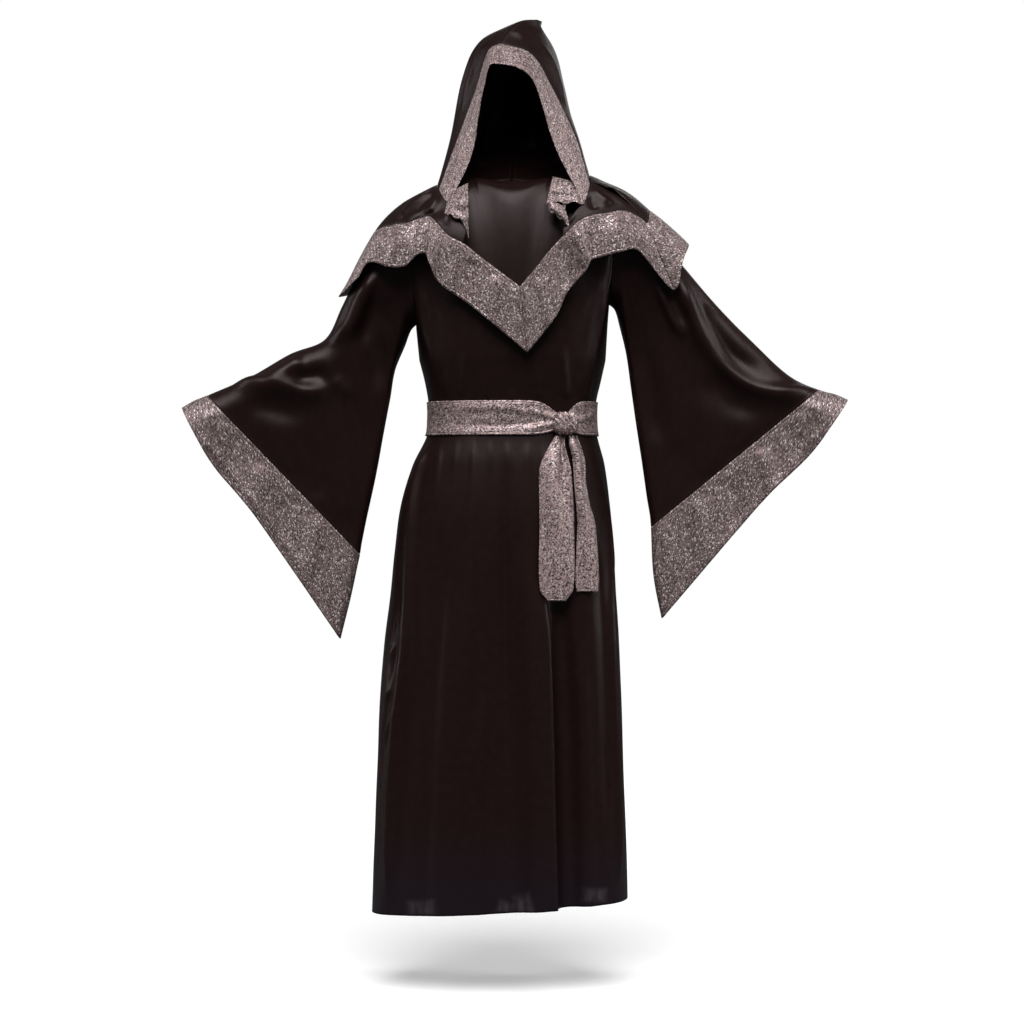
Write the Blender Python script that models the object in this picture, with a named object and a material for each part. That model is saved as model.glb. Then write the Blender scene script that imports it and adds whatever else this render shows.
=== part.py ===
# Sorcerer costume kept in the hollow form it has when worn: a long black satin robe with bell
# sleeves and silver cuff bands, a hooded shoulder cape edged with a silver band, and a silver sash.
# Metres, +Z up. The front faces -Y and the wearer's left is at +X. The origin is at the base of
# the neck between the shoulders, where the wearer carries the garment.
import math

import bmesh
import bpy
import numpy as np
from mathutils import Vector

# Cloth and seams
WALL = 0.002          # thickness of every cloth wall
SEAM = 0.0003         # gap between two pieces at a seam
STEP = 0.002          # parameter step for the slope of a surface
ROUND = 2.5           # exponent of the robe's sections, 2 is an ellipse

# Robe below the chest line, a row for each level: height, half widths, depths
ROBE_LEVELS = (
    # height, right, left, front, back
    (-1.390, 0.268, 0.222, 0.150, 0.150),
    (-1.300, 0.266, 0.220, 0.149, 0.150),
    (-1.185, 0.262, 0.216, 0.147, 0.149),
    (-1.060, 0.257, 0.212, 0.144, 0.148),
    (-0.960, 0.253, 0.209, 0.141, 0.147),
    (-0.868, 0.245, 0.205, 0.138, 0.146),
    (-0.780, 0.234, 0.200, 0.135, 0.146),
    (-0.700, 0.226, 0.196, 0.132, 0.146),
    (-0.608, 0.214, 0.188, 0.127, 0.141),
    (-0.530, 0.190, 0.178, 0.118, 0.126),
    (-0.476, 0.164, 0.164, 0.108, 0.109),
    (-0.443, 0.160, 0.161, 0.105, 0.105),
    (-0.410, 0.161, 0.162, 0.107, 0.106),
    (-0.370, 0.168, 0.171, 0.113, 0.111),
    (-0.330, 0.178, 0.180, 0.118, 0.117),
)
CHEST_LINE = -0.330
SASH_LOW = -0.476
SASH_MIDDLE = -0.443
SASH_HIGH = -0.410

# Hem of the robe: it hangs lower at the wearer's right
HEM_RIGHT = -1.388
HEM_LEFT = -1.360

# Neck hole and shoulders of the robe
NECK_HALF_WIDTH = 0.080
NECK_FRONT = 0.066
NECK_BACK = 0.048
NECK_FRONT_HEIGHT = 0.010
NECK_SIDE_HEIGHT = 0.024
NECK_BACK_HEIGHT = 0.019
RISE_RIGHT = 0.0115     # how far each shoulder seam bows up to carry the cape
RISE_LEFT = 0.0194

# Long soft folds of the skirt: place across the front at the top and at the hem, width, depth
FRONT_FOLDS = (
    # top x, hem x, width, depth
    (-0.185, -0.250, 0.022, 0.010),
    (-0.090, -0.120, 0.045, 0.005),
    (-0.010, -0.010, 0.040, -0.006),
    (0.032, 0.052, 0.026, 0.016),
    (0.078, 0.112, 0.030, -0.020),
    (0.165, 0.203, 0.024, 0.012),
)
BACK_FOLDS = (
    # top x, hem x, width, depth
    (-0.150, -0.200, 0.030, 0.010),
    (-0.095, -0.130, 0.028, -0.014),
    (-0.040, -0.060, 0.030, 0.013),
    (0.015, 0.015, 0.028, -0.013),
    (0.065, 0.085, 0.030, 0.012),
    (0.120, 0.150, 0.028, -0.012),
)
FOLDS_START = -0.500   # level below which the skirt's folds open
FOLDS_FULL = -1.000    # level where they have their full depth

# Sleeves, a row for each section from the armhole to the cuff edge
SLEEVE_RIGHT = (
    # t, top x, top z, bottom x, bottom z, half depth, centre y
    (0.00, -0.200, -0.029, -0.184, -0.2586, 0.076, 0.000),
    (0.05, -0.226, -0.050, -0.196, -0.272, 0.072, -0.001),
    (0.10, -0.250, -0.077, -0.206, -0.298, 0.068, -0.003),
    (0.22, -0.291, -0.149, -0.226, -0.349, 0.061, -0.007),
    (0.34, -0.327, -0.226, -0.236, -0.407, 0.056, -0.012),
    (0.46, -0.361, -0.291, -0.247, -0.471, 0.054, -0.016),
    (0.58, -0.428, -0.319, -0.258, -0.531, 0.053, -0.021),
    (0.69, -0.508, -0.365, -0.275, -0.615, 0.052, -0.026),
    (0.80, -0.583, -0.398, -0.292, -0.702, 0.050, -0.031),
    (0.90, -0.608, -0.408, -0.310, -0.784, 0.050, -0.036),
    (1.00, -0.630, -0.421, -0.329, -0.864, 0.050, -0.040),
)
SLEEVE_LEFT = (
    # t, top x, top z, bottom x, bottom z, half depth, centre y
    (0.00, 0.200, -0.007, 0.1866, -0.220, 0.076, 0.000),
    (0.05, 0.225, -0.027, 0.199, -0.233, 0.072, -0.001),
    (0.10, 0.248, -0.053, 0.208, -0.266, 0.068, -0.003),
    (0.22, 0.299, -0.113, 0.220, -0.319, 0.061, -0.007),
    (0.34, 0.354, -0.178, 0.229, -0.379, 0.056, -0.012),
    (0.46, 0.413, -0.246, 0.239, -0.451, 0.054, -0.016),
    (0.58, 0.472, -0.305, 0.249, -0.521, 0.053, -0.021),
    (0.69, 0.531, -0.359, 0.258, -0.590, 0.052, -0.026),
    (0.80, 0.587, -0.387, 0.267, -0.650, 0.050, -0.031),
    (0.90, 0.617, -0.395, 0.272, -0.743, 0.050, -0.036),
    (1.00, 0.641, -0.406, 0.287, -0.825, 0.050, -0.040),
)
CUFF_SEAM = 0.80       # t where the silver cuff band is sewn on
HANG = 0.72            # share of the arm's depth that the hanging sleeve loses towards its lower edge
LOWER_EDGE = 0.016     # rounding of a sleeve's lower edge
CUFF_BOW = 0.012       # how far the cuff edge bows out near the hand

# Shoulder form under the cape, a row for each place across
CAPE_SECTIONS = (
    # x, ridge height, front depth, back depth, rounding height
    (-0.340, -0.222, 0.066, 0.062, 0.060),
    (-0.316, -0.184, 0.068, 0.064, 0.062),
    (-0.291, -0.134, 0.072, 0.068, 0.066),
    (-0.264, -0.087, 0.078, 0.074, 0.074),
    (-0.241, -0.056, 0.086, 0.082, 0.086),
    (-0.214, -0.032, 0.097, 0.094, 0.104),
    (-0.180, -0.011, 0.112, 0.108, 0.124),
    (-0.135, 0.011, 0.124, 0.120, 0.142),
    (-0.080, 0.031, 0.130, 0.126, 0.155),
    (0.000, 0.042, 0.134, 0.128, 0.160),
    (0.080, 0.040, 0.130, 0.126, 0.155),
    (0.147, 0.026, 0.121, 0.117, 0.140),
    (0.180, 0.012, 0.112, 0.108, 0.128),
    (0.208, -0.001, 0.101, 0.097, 0.110),
    (0.232, -0.016, 0.092, 0.088, 0.096),
    (0.261, -0.042, 0.083, 0.079, 0.082),
    (0.286, -0.062, 0.077, 0.073, 0.074),
    (0.320, -0.093, 0.072, 0.068, 0.068),
    (0.340, -0.113, 0.070, 0.066, 0.066),
)

# Stations of the cape from the front point round to the centre back. Each gives the neck edge,
# the seam of the hem band and the hem, and how far the cloth stands off the shoulder form there.
CAPE_RIGHT = (
    # face, neck x, neck z, seam x, seam z, hem x, hem z, stand-off
    (-1, -0.030, -0.150, 0.015, -0.198, 0.028, -0.322, 0.004),
    (-1, -0.045, -0.130, -0.023, -0.169, -0.028, -0.274, 0.004),
    (-1, -0.065, -0.106, -0.057, -0.143, -0.079, -0.232, 0.004),
    (-1, -0.083, -0.084, -0.090, -0.117, -0.118, -0.205, 0.005),
    (-1, -0.095, -0.071, -0.117, -0.103, -0.140, -0.184, 0.008),
    (-1, -0.108, -0.056, -0.138, -0.081, -0.150, -0.158, 0.012),
    (-1, -0.119, -0.039, -0.156, -0.064, -0.163, -0.134, 0.003),
    (-1, -0.127, -0.027, -0.176, -0.069, -0.180, -0.140, 0.006),
    (-1, -0.133, -0.017, -0.194, -0.079, -0.197, -0.158, 0.012),
    (-1, -0.138, -0.006, -0.227, -0.080, -0.231, -0.157, 0.007),
    (-1, -0.141, 0.001, -0.250, -0.083, -0.271, -0.150, 0.005),
    (-1, -0.142, 0.006, -0.259, -0.084, -0.295, -0.182, 0.004),
    (0, -0.142, 0.0085, -0.264, -0.086, -0.331, -0.207, 0.003),
    (1, -0.140, 0.004, -0.248, -0.092, -0.288, -0.188, 0.004),
    (1, -0.128, 0.000, -0.205, -0.097, -0.217, -0.192, 0.010),
    (1, -0.097, 0.010, -0.150, -0.108, -0.157, -0.212, 0.004),
    (1, -0.050, 0.022, -0.078, -0.124, -0.082, -0.236, 0.009),
    (1, 0.000, 0.026, 0.000, -0.145, 0.000, -0.262, 0.004),
)
CAPE_LEFT = (
    # face, neck x, neck z, seam x, seam z, hem x, hem z, stand-off
    (-1, 0.050, -0.150, 0.015, -0.198, 0.028, -0.322, 0.004),
    (-1, 0.065, -0.130, 0.043, -0.164, 0.053, -0.292, 0.005),
    (-1, 0.082, -0.105, 0.071, -0.129, 0.084, -0.250, 0.007),
    (-1, 0.100, -0.082, 0.094, -0.104, 0.103, -0.208, 0.009),
    (-1, 0.112, -0.066, 0.114, -0.084, 0.136, -0.168, 0.010),
    (-1, 0.120, -0.054, 0.132, -0.070, 0.147, -0.148, 0.006),
    (-1, 0.134, -0.037, 0.174, -0.058, 0.169, -0.140, 0.005),
    (-1, 0.141, -0.020, 0.210, -0.052, 0.203, -0.130, 0.006),
    (-1, 0.144, -0.008, 0.232, -0.061, 0.230, -0.124, 0.007),
    (-1, 0.147, 0.003, 0.245, -0.070, 0.254, -0.145, 0.008),
    (-1, 0.147, 0.010, 0.252, -0.076, 0.306, -0.200, 0.008),
    (-1, 0.148, 0.017, 0.258, -0.066, 0.323, -0.146, 0.006),
    (0, 0.147, 0.0245, 0.262, -0.044, 0.334, -0.108, 0.004),
    (1, 0.145, 0.014, 0.252, -0.082, 0.292, -0.172, 0.004),
    (1, 0.130, 0.008, 0.205, -0.092, 0.217, -0.187, 0.010),
    (1, 0.098, 0.014, 0.150, -0.106, 0.157, -0.210, 0.004),
    (1, 0.050, 0.023, 0.078, -0.123, 0.082, -0.235, 0.009),
    (1, 0.000, 0.026, 0.000, -0.145, 0.000, -0.262, 0.004),
)
FRONT_EDGE = 3          # station where the black cape's front edge meets the hem band
CORNER_RIGHT = 12       # station of the band's mitre on the wearer's right shoulder
CORNER_LEFT = 10        # the same on the wearer's left shoulder
LAST = 17               # station of the centre back
CAPE_BASE = 0.002       # how far the neck edge stands off the shoulder form

# Hood, a row for each hoop from the face edge back to the centre-back seam. A hoop starts on the
# crest, passes three points down the side and ends on the neck edge at its station
HOOD_RIGHT = (
    # station, crest x y z, top x y z, upper x y z, lower x y z
    (6.0, -0.023, -0.088, 0.229, -0.042, -0.087, 0.226, -0.053, -0.085, 0.180, -0.076, -0.080, 0.060),
    (9.0, -0.023, -0.040, 0.276, -0.046, -0.035, 0.262, -0.070, -0.030, 0.188, -0.112, -0.028, 0.075),
    (12.0, 0.010, 0.015, 0.326, -0.060, 0.030, 0.294, -0.095, 0.030, 0.224, -0.119, 0.030, 0.100),
    (14.5, 0.045, 0.050, 0.338, -0.026, 0.085, 0.306, -0.070, 0.108, 0.228, -0.098, 0.105, 0.102),
    (17.0, 0.058, 0.080, 0.340, 0.050, 0.124, 0.300, 0.034, 0.150, 0.220, 0.006, 0.122, 0.095),
)
HOOD_LEFT = (
    # station, crest x y z, top x y z, upper x y z, lower x y z
    (6.0, -0.023, -0.088, 0.229, 0.012, -0.087, 0.221, 0.044, -0.085, 0.191, 0.080, -0.082, 0.078),
    (9.0, -0.023, -0.040, 0.276, 0.035, -0.036, 0.258, 0.073, -0.030, 0.200, 0.122, -0.030, 0.098),
    (12.0, 0.010, 0.015, 0.326, 0.066, 0.030, 0.285, 0.096, 0.030, 0.215, 0.124, 0.030, 0.112),
    (14.5, 0.045, 0.050, 0.338, 0.080, 0.085, 0.290, 0.096, 0.106, 0.215, 0.110, 0.105, 0.104),
    (17.0, 0.058, 0.080, 0.340, 0.050, 0.124, 0.300, 0.034, 0.150, 0.220, 0.006, 0.122, 0.095),
)
HOOD_START = 6          # station of the hood's face edge
HOOD_SEAM = 9           # station of the seam between the silver face band and the black hood

# Silver front edge below the hood: it turns back on itself at each collarbone. Four corners each,
# across, up and off the shoulder form: outer low, inner low, inner high, outer high
FRONT_TURNS = {
    "front_turn_right": ((-0.124, -0.060, 0.007), (-0.081, -0.078, 0.009),
                         (-0.081, -0.008, 0.014), (-0.127, -0.050, 0.010)),
    "front_turn_left_upper": ((0.068, -0.038, 0.008), (0.129, -0.044, 0.0042),
                              (0.107, 0.002, 0.012), (0.078, 0.006, 0.012)),
    "front_turn_left_lower": ((0.072, -0.056, 0.009), (0.105, -0.080, 0.007),
                              (0.094, -0.046, 0.007), (0.064, -0.039, 0.009)),
}

# Sash: the wrap, the knot at the wearer's left front, and the two hanging tails
SASH_LIFT = 0.0030      # from the middle of the robe's wall to the middle of the sash's
SASH_GATHER = 0.62      # share of its width that the sash loses at the knot
SASH_SAG = 0.12         # share of its width that the knot pulls the sash down
KNOT_AROUND = 0.3565    # place of the knot round the waist, and how far its gathers reach
KNOT_SPREAD = 0.035
KNOT_GAP = 0.0010       # from the sash to the back of the knot
KNOT_SIZE = (0.026, 0.014, 0.023)
KNOT_DROP = 0.004       # from the middle of the gathered sash down to the middle of the knot
KNOT_GROOVES = 3
TAILS = {
    "sash_tail_right": (
        # height, right edge, left edge, stand-off from the skirt
        (-0.789, 0.068, 0.101, 0.010),
        (-0.768, 0.053, 0.115, 0.011),
        (-0.655, 0.052, 0.117, 0.012),
        (-0.565, 0.051, 0.113, 0.013),
        (-0.535, 0.053, 0.110, 0.014),
        (-0.505, 0.066, 0.103, 0.014),
        (-0.4770, 0.082, 0.100, 0.012),
    ),
    "sash_tail_left": (
        (-0.772, 0.122, 0.162, 0.007),
        (-0.744, 0.120, 0.164, 0.008),
        (-0.648, 0.122, 0.158, 0.009),
        (-0.606, 0.120, 0.147, 0.010),
        (-0.565, 0.119, 0.140, 0.011),
        (-0.522, 0.117, 0.138, 0.013),
        (-0.4765, 0.107, 0.122, 0.015),
    ),
}

# Grid sizes: a half section has the armhole's columns, the shoulder's and the neck's
ARM_COLUMNS = 12
SHOULDER_COLUMNS = 3
NECK_COLUMNS = 3
HALF = ARM_COLUMNS + SHOULDER_COLUMNS + NECK_COLUMNS
COLUMN_TURNS = (
    # share of a half section from its middle to its side, turn round the body
    (0.00, 0.0),
    (0.33, math.radians(27)),
    (0.78, math.radians(58)),
    (1.00, math.radians(90)),
)
UPPER_ROWS = 6
SLEEVE_ROWS = 10
CUFF_ROWS = 3
CAPE_ROWS = 6
STATION_COLUMNS = 2
BAND_ROWS = 3
HOOD_ROWS = 12
TURN_STEPS = 5
TAIL_COLUMNS = 5
TAIL_ROWS = 12

BLACK_SATIN = ("black_satin", (0.012, 0.008, 0.009), 0.42, 0.0)
SILVER_KNIT = ("silver_knit", (0.200, 0.170, 0.175), 0.45, 0.35)


def clear_scene():
    for obj in list(bpy.data.objects):
        bpy.data.objects.remove(obj, do_unlink=True)


def material(spec):
    name, colour, roughness, metallic = spec
    found = bpy.data.materials.get(name)
    if found:
        return found
    made = bpy.data.materials.new(name)
    made.use_nodes = True
    shader = made.node_tree.nodes["Principled BSDF"]
    shader.inputs["Base Color"].default_value = (*colour, 1.0)
    shader.inputs["Roughness"].default_value = roughness
    shader.inputs["Metallic"].default_value = metallic
    return made


def smooth_row(table, key):
    """Row of a table at a key between its rows: smooth inside, straight on past its ends."""
    data = np.asarray(table, dtype=float)
    keys = data[:, 0]
    values = data[:, 1:]
    if key <= keys[0] or key >= keys[-1]:
        end = 0 if key <= keys[0] else -2
        slope = (values[end + 1] - values[end]) / (keys[end + 1] - keys[end])
        return values[end] + slope * (key - keys[end])
    i = int(np.searchsorted(keys, key, side="right")) - 1
    slopes = []
    for j in (i, i + 1):
        low = max(j - 1, 0)
        high = min(j + 1, len(keys) - 1)
        slopes.append((values[high] - values[low]) / (keys[high] - keys[low]))
    span = keys[i + 1] - keys[i]
    t = (key - keys[i]) / span
    start = (2 * t**3 - 3 * t**2 + 1) * values[i] + (t**3 - 2 * t**2 + t) * span * slopes[0]
    finish = (3 * t**2 - 2 * t**3) * values[i + 1] + (t**3 - t**2) * span * slopes[1]
    return start + finish


def ease(t):
    t = min(max(t, 0.0), 1.0)
    return t * t * (3 - 2 * t)


def mix(a, b, t):
    return a + (b - a) * t


def normal_of(point, u, v):
    """Outward normal of a surface whose u runs to the wearer's left and v upwards."""
    across = point(u + STEP, v) - point(u - STEP, v)
    along = point(u, v + STEP) - point(u, v - STEP)
    return across.cross(along).normalized()


def mitre(first, second):
    """Direction and share of the thickness along which two walls meet, from their normals."""
    middle = (first + second).normalized()
    return middle / max(middle.dot(first), 0.34)


def wall(name, point, columns, rows, finish, seams="", tube=False, turned=False, rim=None):
    """Cloth wall: a flat grid laid on point(u, v), with half its thickness on each side.

    Edges named in seams, u0 u1 v0 v1, stop half a seam's gap short. A rim gives the direction
    of the thickness along an edge, so that two pieces end flat against each other.
    """
    def edge_shift(u, v, normal):
        shift = Vector()
        off_corner_u = mix(u, 0.5, 0.1)
        off_corner_v = mix(v, 0.5, 0.1)
        for edge, at_edge, outer, inside in (
            ("u0", u == 0, (0, off_corner_v), (STEP, off_corner_v)),
            ("u1", u == 1, (1, off_corner_v), (1 - STEP, off_corner_v)),
            ("v0", v == 0, (off_corner_u, 0), (off_corner_u, STEP)),
            ("v1", v == 1, (off_corner_u, 1), (off_corner_u, 1 - STEP)),
        ):
            if edge in seams and at_edge:
                turn_u, turn_v = (0, STEP) if edge[0] == "u" else (STEP, 0)
                along = point(u + turn_u, v + turn_v) - point(u - turn_u, v - turn_v)
                inward = along.cross(normal).normalized()
                if inward.dot(point(*inside) - point(*outer)) < 0:
                    inward = -inward
                shift += inward * SEAM / 2
        return shift

    sheet = bmesh.new()
    bmesh.ops.create_grid(sheet, x_segments=columns, y_segments=rows, size=0.5)
    number = sheet.verts.layers.int.new("number")
    inner = {}
    for vertex in sheet.verts:
        u = round((vertex.co.x + 0.5) * columns) / columns
        v = round((vertex.co.y + 0.5) * rows) / rows
        normal = rim(u, v) if rim else None
        if normal is None:
            normal = normal_of(point, u, v)
            if turned:
                normal = -normal
        place = point(u, v) + edge_shift(u, v, normal)
        vertex[number] = vertex.index
        vertex.co = place + normal * WALL / 2
        inner[vertex.index] = place - normal * WALL / 2
    if tube:
        bmesh.ops.remove_doubles(sheet, verts=sheet.verts, dist=1e-6)
    bmesh.ops.triangulate(sheet, faces=sheet.faces, quad_method="SHORT_EDGE")
    layer = bmesh.ops.extrude_face_region(sheet, geom=sheet.faces[:], use_keep_orig=True)
    for item in layer["geom"]:
        if isinstance(item, bmesh.types.BMVert):
            item.co = inner[item[number]]
    return finished(name, sheet, finish)


def finished(name, mesh_data, finish):
    """Object of a modelled form, in triangles, its faces outward and its material on it."""
    bmesh.ops.triangulate(mesh_data, faces=mesh_data.faces, quad_method="SHORT_EDGE")
    bmesh.ops.recalc_face_normals(mesh_data, faces=mesh_data.faces)
    if mesh_data.calc_volume(signed=True) < 0:
        bmesh.ops.reverse_faces(mesh_data, faces=mesh_data.faces)
    mesh = bpy.data.meshes.new(name)
    mesh_data.to_mesh(mesh)
    mesh_data.free()
    mesh.shade_smooth()
    mesh.set_sharp_from_angle(angle=math.radians(50))
    mesh.materials.append(material(finish))
    obj = bpy.data.objects.new(name, mesh)
    bpy.context.collection.objects.link(obj)
    return obj


def part_of(point, low_u=0.0, high_u=1.0, low_v=0.0, high_v=1.0):
    """The same surface over a part of its parameters, so that pieces share one form."""
    return lambda u, v: point(mix(low_u, high_u, u), mix(low_v, high_v, v))


def fold_height(folds, x, z):
    """How far the long folds of the skirt lift its cloth at a place across and a height."""
    down = (FOLDS_START - z) / (FOLDS_START - HEM_RIGHT)
    grown = ease((FOLDS_START - z) / (FOLDS_START - FOLDS_FULL))
    lift = 0.0
    for top_x, hem_x, width, depth in folds:
        middle = mix(top_x, hem_x, down)
        lift += depth * math.exp(-(((x - middle) / width) ** 2))
    return lift * grown


def robe_section(z, angle):
    """Point of the robe's body at a height, by the angle from the centre front to the left."""
    right, left, front, back = smooth_row(ROBE_LEVELS, z)
    half_width = left if math.sin(angle) > 0 else right
    depth = front if math.cos(angle) > 0 else back
    sine = math.sin(angle)
    cosine = math.cos(angle)
    reach = (abs(sine) ** ROUND + abs(cosine) ** ROUND) ** (-1 / ROUND)
    point = Vector((reach * half_width * sine, -reach * depth * cosine, z))
    folds = FRONT_FOLDS if cosine > 0 else BACK_FOLDS
    fade = ease(abs(cosine) / 0.3)
    lift = fold_height(folds, point.x, z) * fade
    return point + Vector((sine * 0.4, -cosine, 0)) * lift


def sleeve(side, t, around):
    """Point of a sleeve: t from the armhole to the cuff edge, around from the top by the front."""
    table = SLEEVE_RIGHT if side < 0 else SLEEVE_LEFT
    top_x, top_z, low_x, low_z, half_depth, middle_y = smooth_row(table, t)
    top = Vector((top_x, middle_y, top_z))
    low = Vector((low_x, middle_y, low_z))
    length = (low - top).length
    angle = 2 * math.pi * around
    down = (1 - math.cos(angle)) / 2
    hang = mix(0.1, HANG, ease(t / 0.3))
    edge = mix(0.07, LOWER_EDGE, ease(t / 0.25))
    crown = math.sqrt(1 - (1 - min(1.0, down * length / half_depth)) ** 2)
    foot = math.sqrt(1 - (1 - min(1.0, (1 - down) * length / edge)) ** 2)
    depth = half_depth * crown * foot * (1 - hang * down)
    place = top.lerp(low, down)
    outward = Vector((low.z - top.z, 0, top.x - low.x)).normalized()
    if outward.x * side < 0:
        outward = -outward
    bow = CUFF_BOW * ease((t - CUFF_SEAM) / (1 - CUFF_SEAM)) * math.exp(-(((down - 0.22) / 0.16) ** 2))
    return place + outward * bow + Vector((0, -math.copysign(depth, math.sin(angle)), 0))


def ridge_height(x):
    """Height of the robe's shoulder seam, bowed up from the neck to the top of the armhole."""
    end = SLEEVE_RIGHT[0] if x < 0 else SLEEVE_LEFT[0]
    rise = RISE_RIGHT if x < 0 else RISE_LEFT
    share = (abs(x) - NECK_HALF_WIDTH) / (abs(end[1]) - NECK_HALF_WIDTH)
    return mix(NECK_SIDE_HEIGHT, end[2], share) + rise * math.sin(math.pi * min(max(share, 0), 1))


def robe_edge(side, share, front):
    """Upper edge of a robe panel from its centre to its side: neck, shoulder, then armhole."""
    column = share * HALF
    facing = -1 if front else 1
    if column <= NECK_COLUMNS:
        turn = column / NECK_COLUMNS * math.pi / 2
        depth = NECK_FRONT if front else NECK_BACK
        height = NECK_FRONT_HEIGHT if front else NECK_BACK_HEIGHT
        z = mix(height, NECK_SIDE_HEIGHT, math.sin(turn) ** 2)
        return Vector((side * NECK_HALF_WIDTH * math.sin(turn), facing * depth * math.cos(turn), z))
    if column <= NECK_COLUMNS + SHOULDER_COLUMNS:
        end = abs((SLEEVE_RIGHT if side < 0 else SLEEVE_LEFT)[0][1])
        x = mix(NECK_HALF_WIDTH, end, (column - NECK_COLUMNS) / SHOULDER_COLUMNS)
        return Vector((side * x, 0, ridge_height(side * x)))
    around = (column - NECK_COLUMNS - SHOULDER_COLUMNS) / ARM_COLUMNS / 2
    return sleeve(side, 0, around if front else 1 - around)


def body_angle(across, front):
    """Angle from the centre front to the left of a column, -1 to 1 across a robe panel."""
    share = abs(across)
    turn = smooth_row(COLUMN_TURNS, min(share, 2 - share))[0]
    if share > 1:
        turn = math.pi - turn
    turn = math.copysign(turn, across)
    return turn if front else math.pi - turn


def robe_upper(across, rise, front):
    """Robe above the chest line: rise 0 to 1 up to the panel's upper edge."""
    side = -1 if across < 0 else 1
    share = abs(across)
    low = robe_section(CHEST_LINE, body_angle(across, front))
    high = robe_edge(side, share, front)
    arm = min(share, 2 - share) * HALF - NECK_COLUMNS - SHOULDER_COLUMNS
    flat = mix(1.8, 3.0, ease((share * HALF - 1) / NECK_COLUMNS))
    flat = mix(flat, 1.0, ease(arm / 5))
    rise = min(rise, 1.0)
    up = 1 - (1 - rise) ** mix(1.0, 1.7, ease(share * HALF / NECK_COLUMNS))
    over = 1 - (1 - max(up, 0.0) ** flat) ** (1 / flat)
    out = mix(up, over, 0.6)
    return Vector((mix(low.x, high.x, out), mix(low.y, high.y, over), mix(low.z, high.z, up)))


LOWER_ROWS = (0.0, 0.10, 0.20, 0.30, 0.40, 0.50, 0.60, 0.70, 0.80, 0.90, 1.0)


def robe_point(across, level, front):
    """Robe panel: across -1 to 1 to the wearer's left, level up the rows from the hem."""
    angle = body_angle(across, front)
    hem = mix(HEM_RIGHT, HEM_LEFT, (math.sin(angle) + 1) / 2)
    below_sash = len(LOWER_ROWS) - 1
    heights = [mix(hem, SASH_LOW, share) for share in LOWER_ROWS]
    heights += [SASH_MIDDLE, SASH_HIGH, -0.370, CHEST_LINE]
    chest = len(heights) - 1
    if level >= chest:
        return robe_upper(across, (level - chest) / UPPER_ROWS, front)
    row = min(max(int(level), 0), chest - 1)
    return robe_section(mix(heights[row], heights[row + 1], level - row), angle)


ROBE_ROWS = len(LOWER_ROWS) + 3 + UPPER_ROWS


def robe_panel(front):
    """One panel as a surface over u and v, u running round the body to the wearer's left."""
    turn = 1 if front else -1
    return lambda u, v: robe_point(turn * (2 * u - 1), v * ROBE_ROWS, front)


def robe_edge_normal(across, front):
    """Normal of a robe panel at its upper edge."""
    return normal_of(robe_panel(front), (across + 1) / 2 if front else (1 - across) / 2, 1)


def shoulder_mitre(across):
    return mitre(robe_edge_normal(across, True), robe_edge_normal(across, False))


def armhole_mitre(side, around):
    """How the robe's wall and the sleeve's meet at the armhole."""
    if around in (0, 1):
        body = shoulder_mitre(side * (NECK_COLUMNS + SHOULDER_COLUMNS) / HALF).normalized()
    else:
        column = NECK_COLUMNS + SHOULDER_COLUMNS + 2 * ARM_COLUMNS * min(around, 1 - around)
        body = robe_edge_normal(side * column / HALF, around <= 0.5)
    arm = normal_of(lambda u, v: sleeve(side, v, u), around, 0) * side
    return mitre(body, arm)


def make_robe():
    for name, front in (("robe_front", True), ("robe_back", False)):
        def rim(u, v, front=front):
            across = (2 * u - 1) * (1 if front else -1)
            column = abs(across) * HALF - NECK_COLUMNS
            if v < 1 or column < 0:
                return None
            if column < SHOULDER_COLUMNS:
                return shoulder_mitre(across)
            around = (column - SHOULDER_COLUMNS) / ARM_COLUMNS / 2
            return armhole_mitre(-1 if across < 0 else 1, around if front else 1 - around)

        wall(name, robe_panel(front), 2 * HALF, ROBE_ROWS, BLACK_SATIN, seams="u0 u1 v1", rim=rim)


def make_sleeves():
    for word, side in (("right", -1), ("left", 1)):
        tube = lambda u, v, side=side: sleeve(side, v, u)
        upper = lambda u, v, side=side: sleeve(side, CUFF_SEAM * v**1.3, u)
        head = lambda u, v, side=side: armhole_mitre(side, u) if v == 0 else None
        ring = 2 * ARM_COLUMNS
        wall(f"sleeve_{word}", upper, ring, SLEEVE_ROWS, BLACK_SATIN,
             seams="v0 v1", tube=True, turned=side < 0, rim=head)
        wall(f"cuff_band_{word}", part_of(tube, low_v=CUFF_SEAM), ring, CUFF_ROWS, SILVER_KNIT,
             seams="v0", tube=True, turned=side < 0)


def over_shoulder(x, reach, lift=0.0):
    """Point of the shoulder form: reach is the way down from its ridge, negative to the front."""
    def on_form(x, reach):
        ridge, front, back, height = smooth_row(CAPE_SECTIONS, x)
        depth = front if reach < 0 else back
        turn = abs(reach) / height
        if turn < math.pi / 2:
            y = depth * math.sin(turn)
            z = ridge - height * (1 - math.cos(turn))
        else:
            y = depth
            z = ridge - height - (abs(reach) - height * math.pi / 2)
        return Vector((x, math.copysign(y, reach), z))

    place = on_form(x, reach)
    across = on_form(x + STEP, reach) - on_form(x - STEP, reach)
    down = on_form(x, reach - STEP) - on_form(x, reach + STEP)
    normal = across.cross(-down).normalized()
    return place + normal * lift, normal


def reach_down(x, z, face):
    """Way down the shoulder form to a height, on its front, -1, or its back, 1."""
    ridge, front, back, height = smooth_row(CAPE_SECTIONS, x)
    drop = max(ridge - z, 0.0)
    if drop < height:
        return face * height * math.acos(1 - drop / height)
    return face * (height * math.pi / 2 + drop - height)


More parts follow.
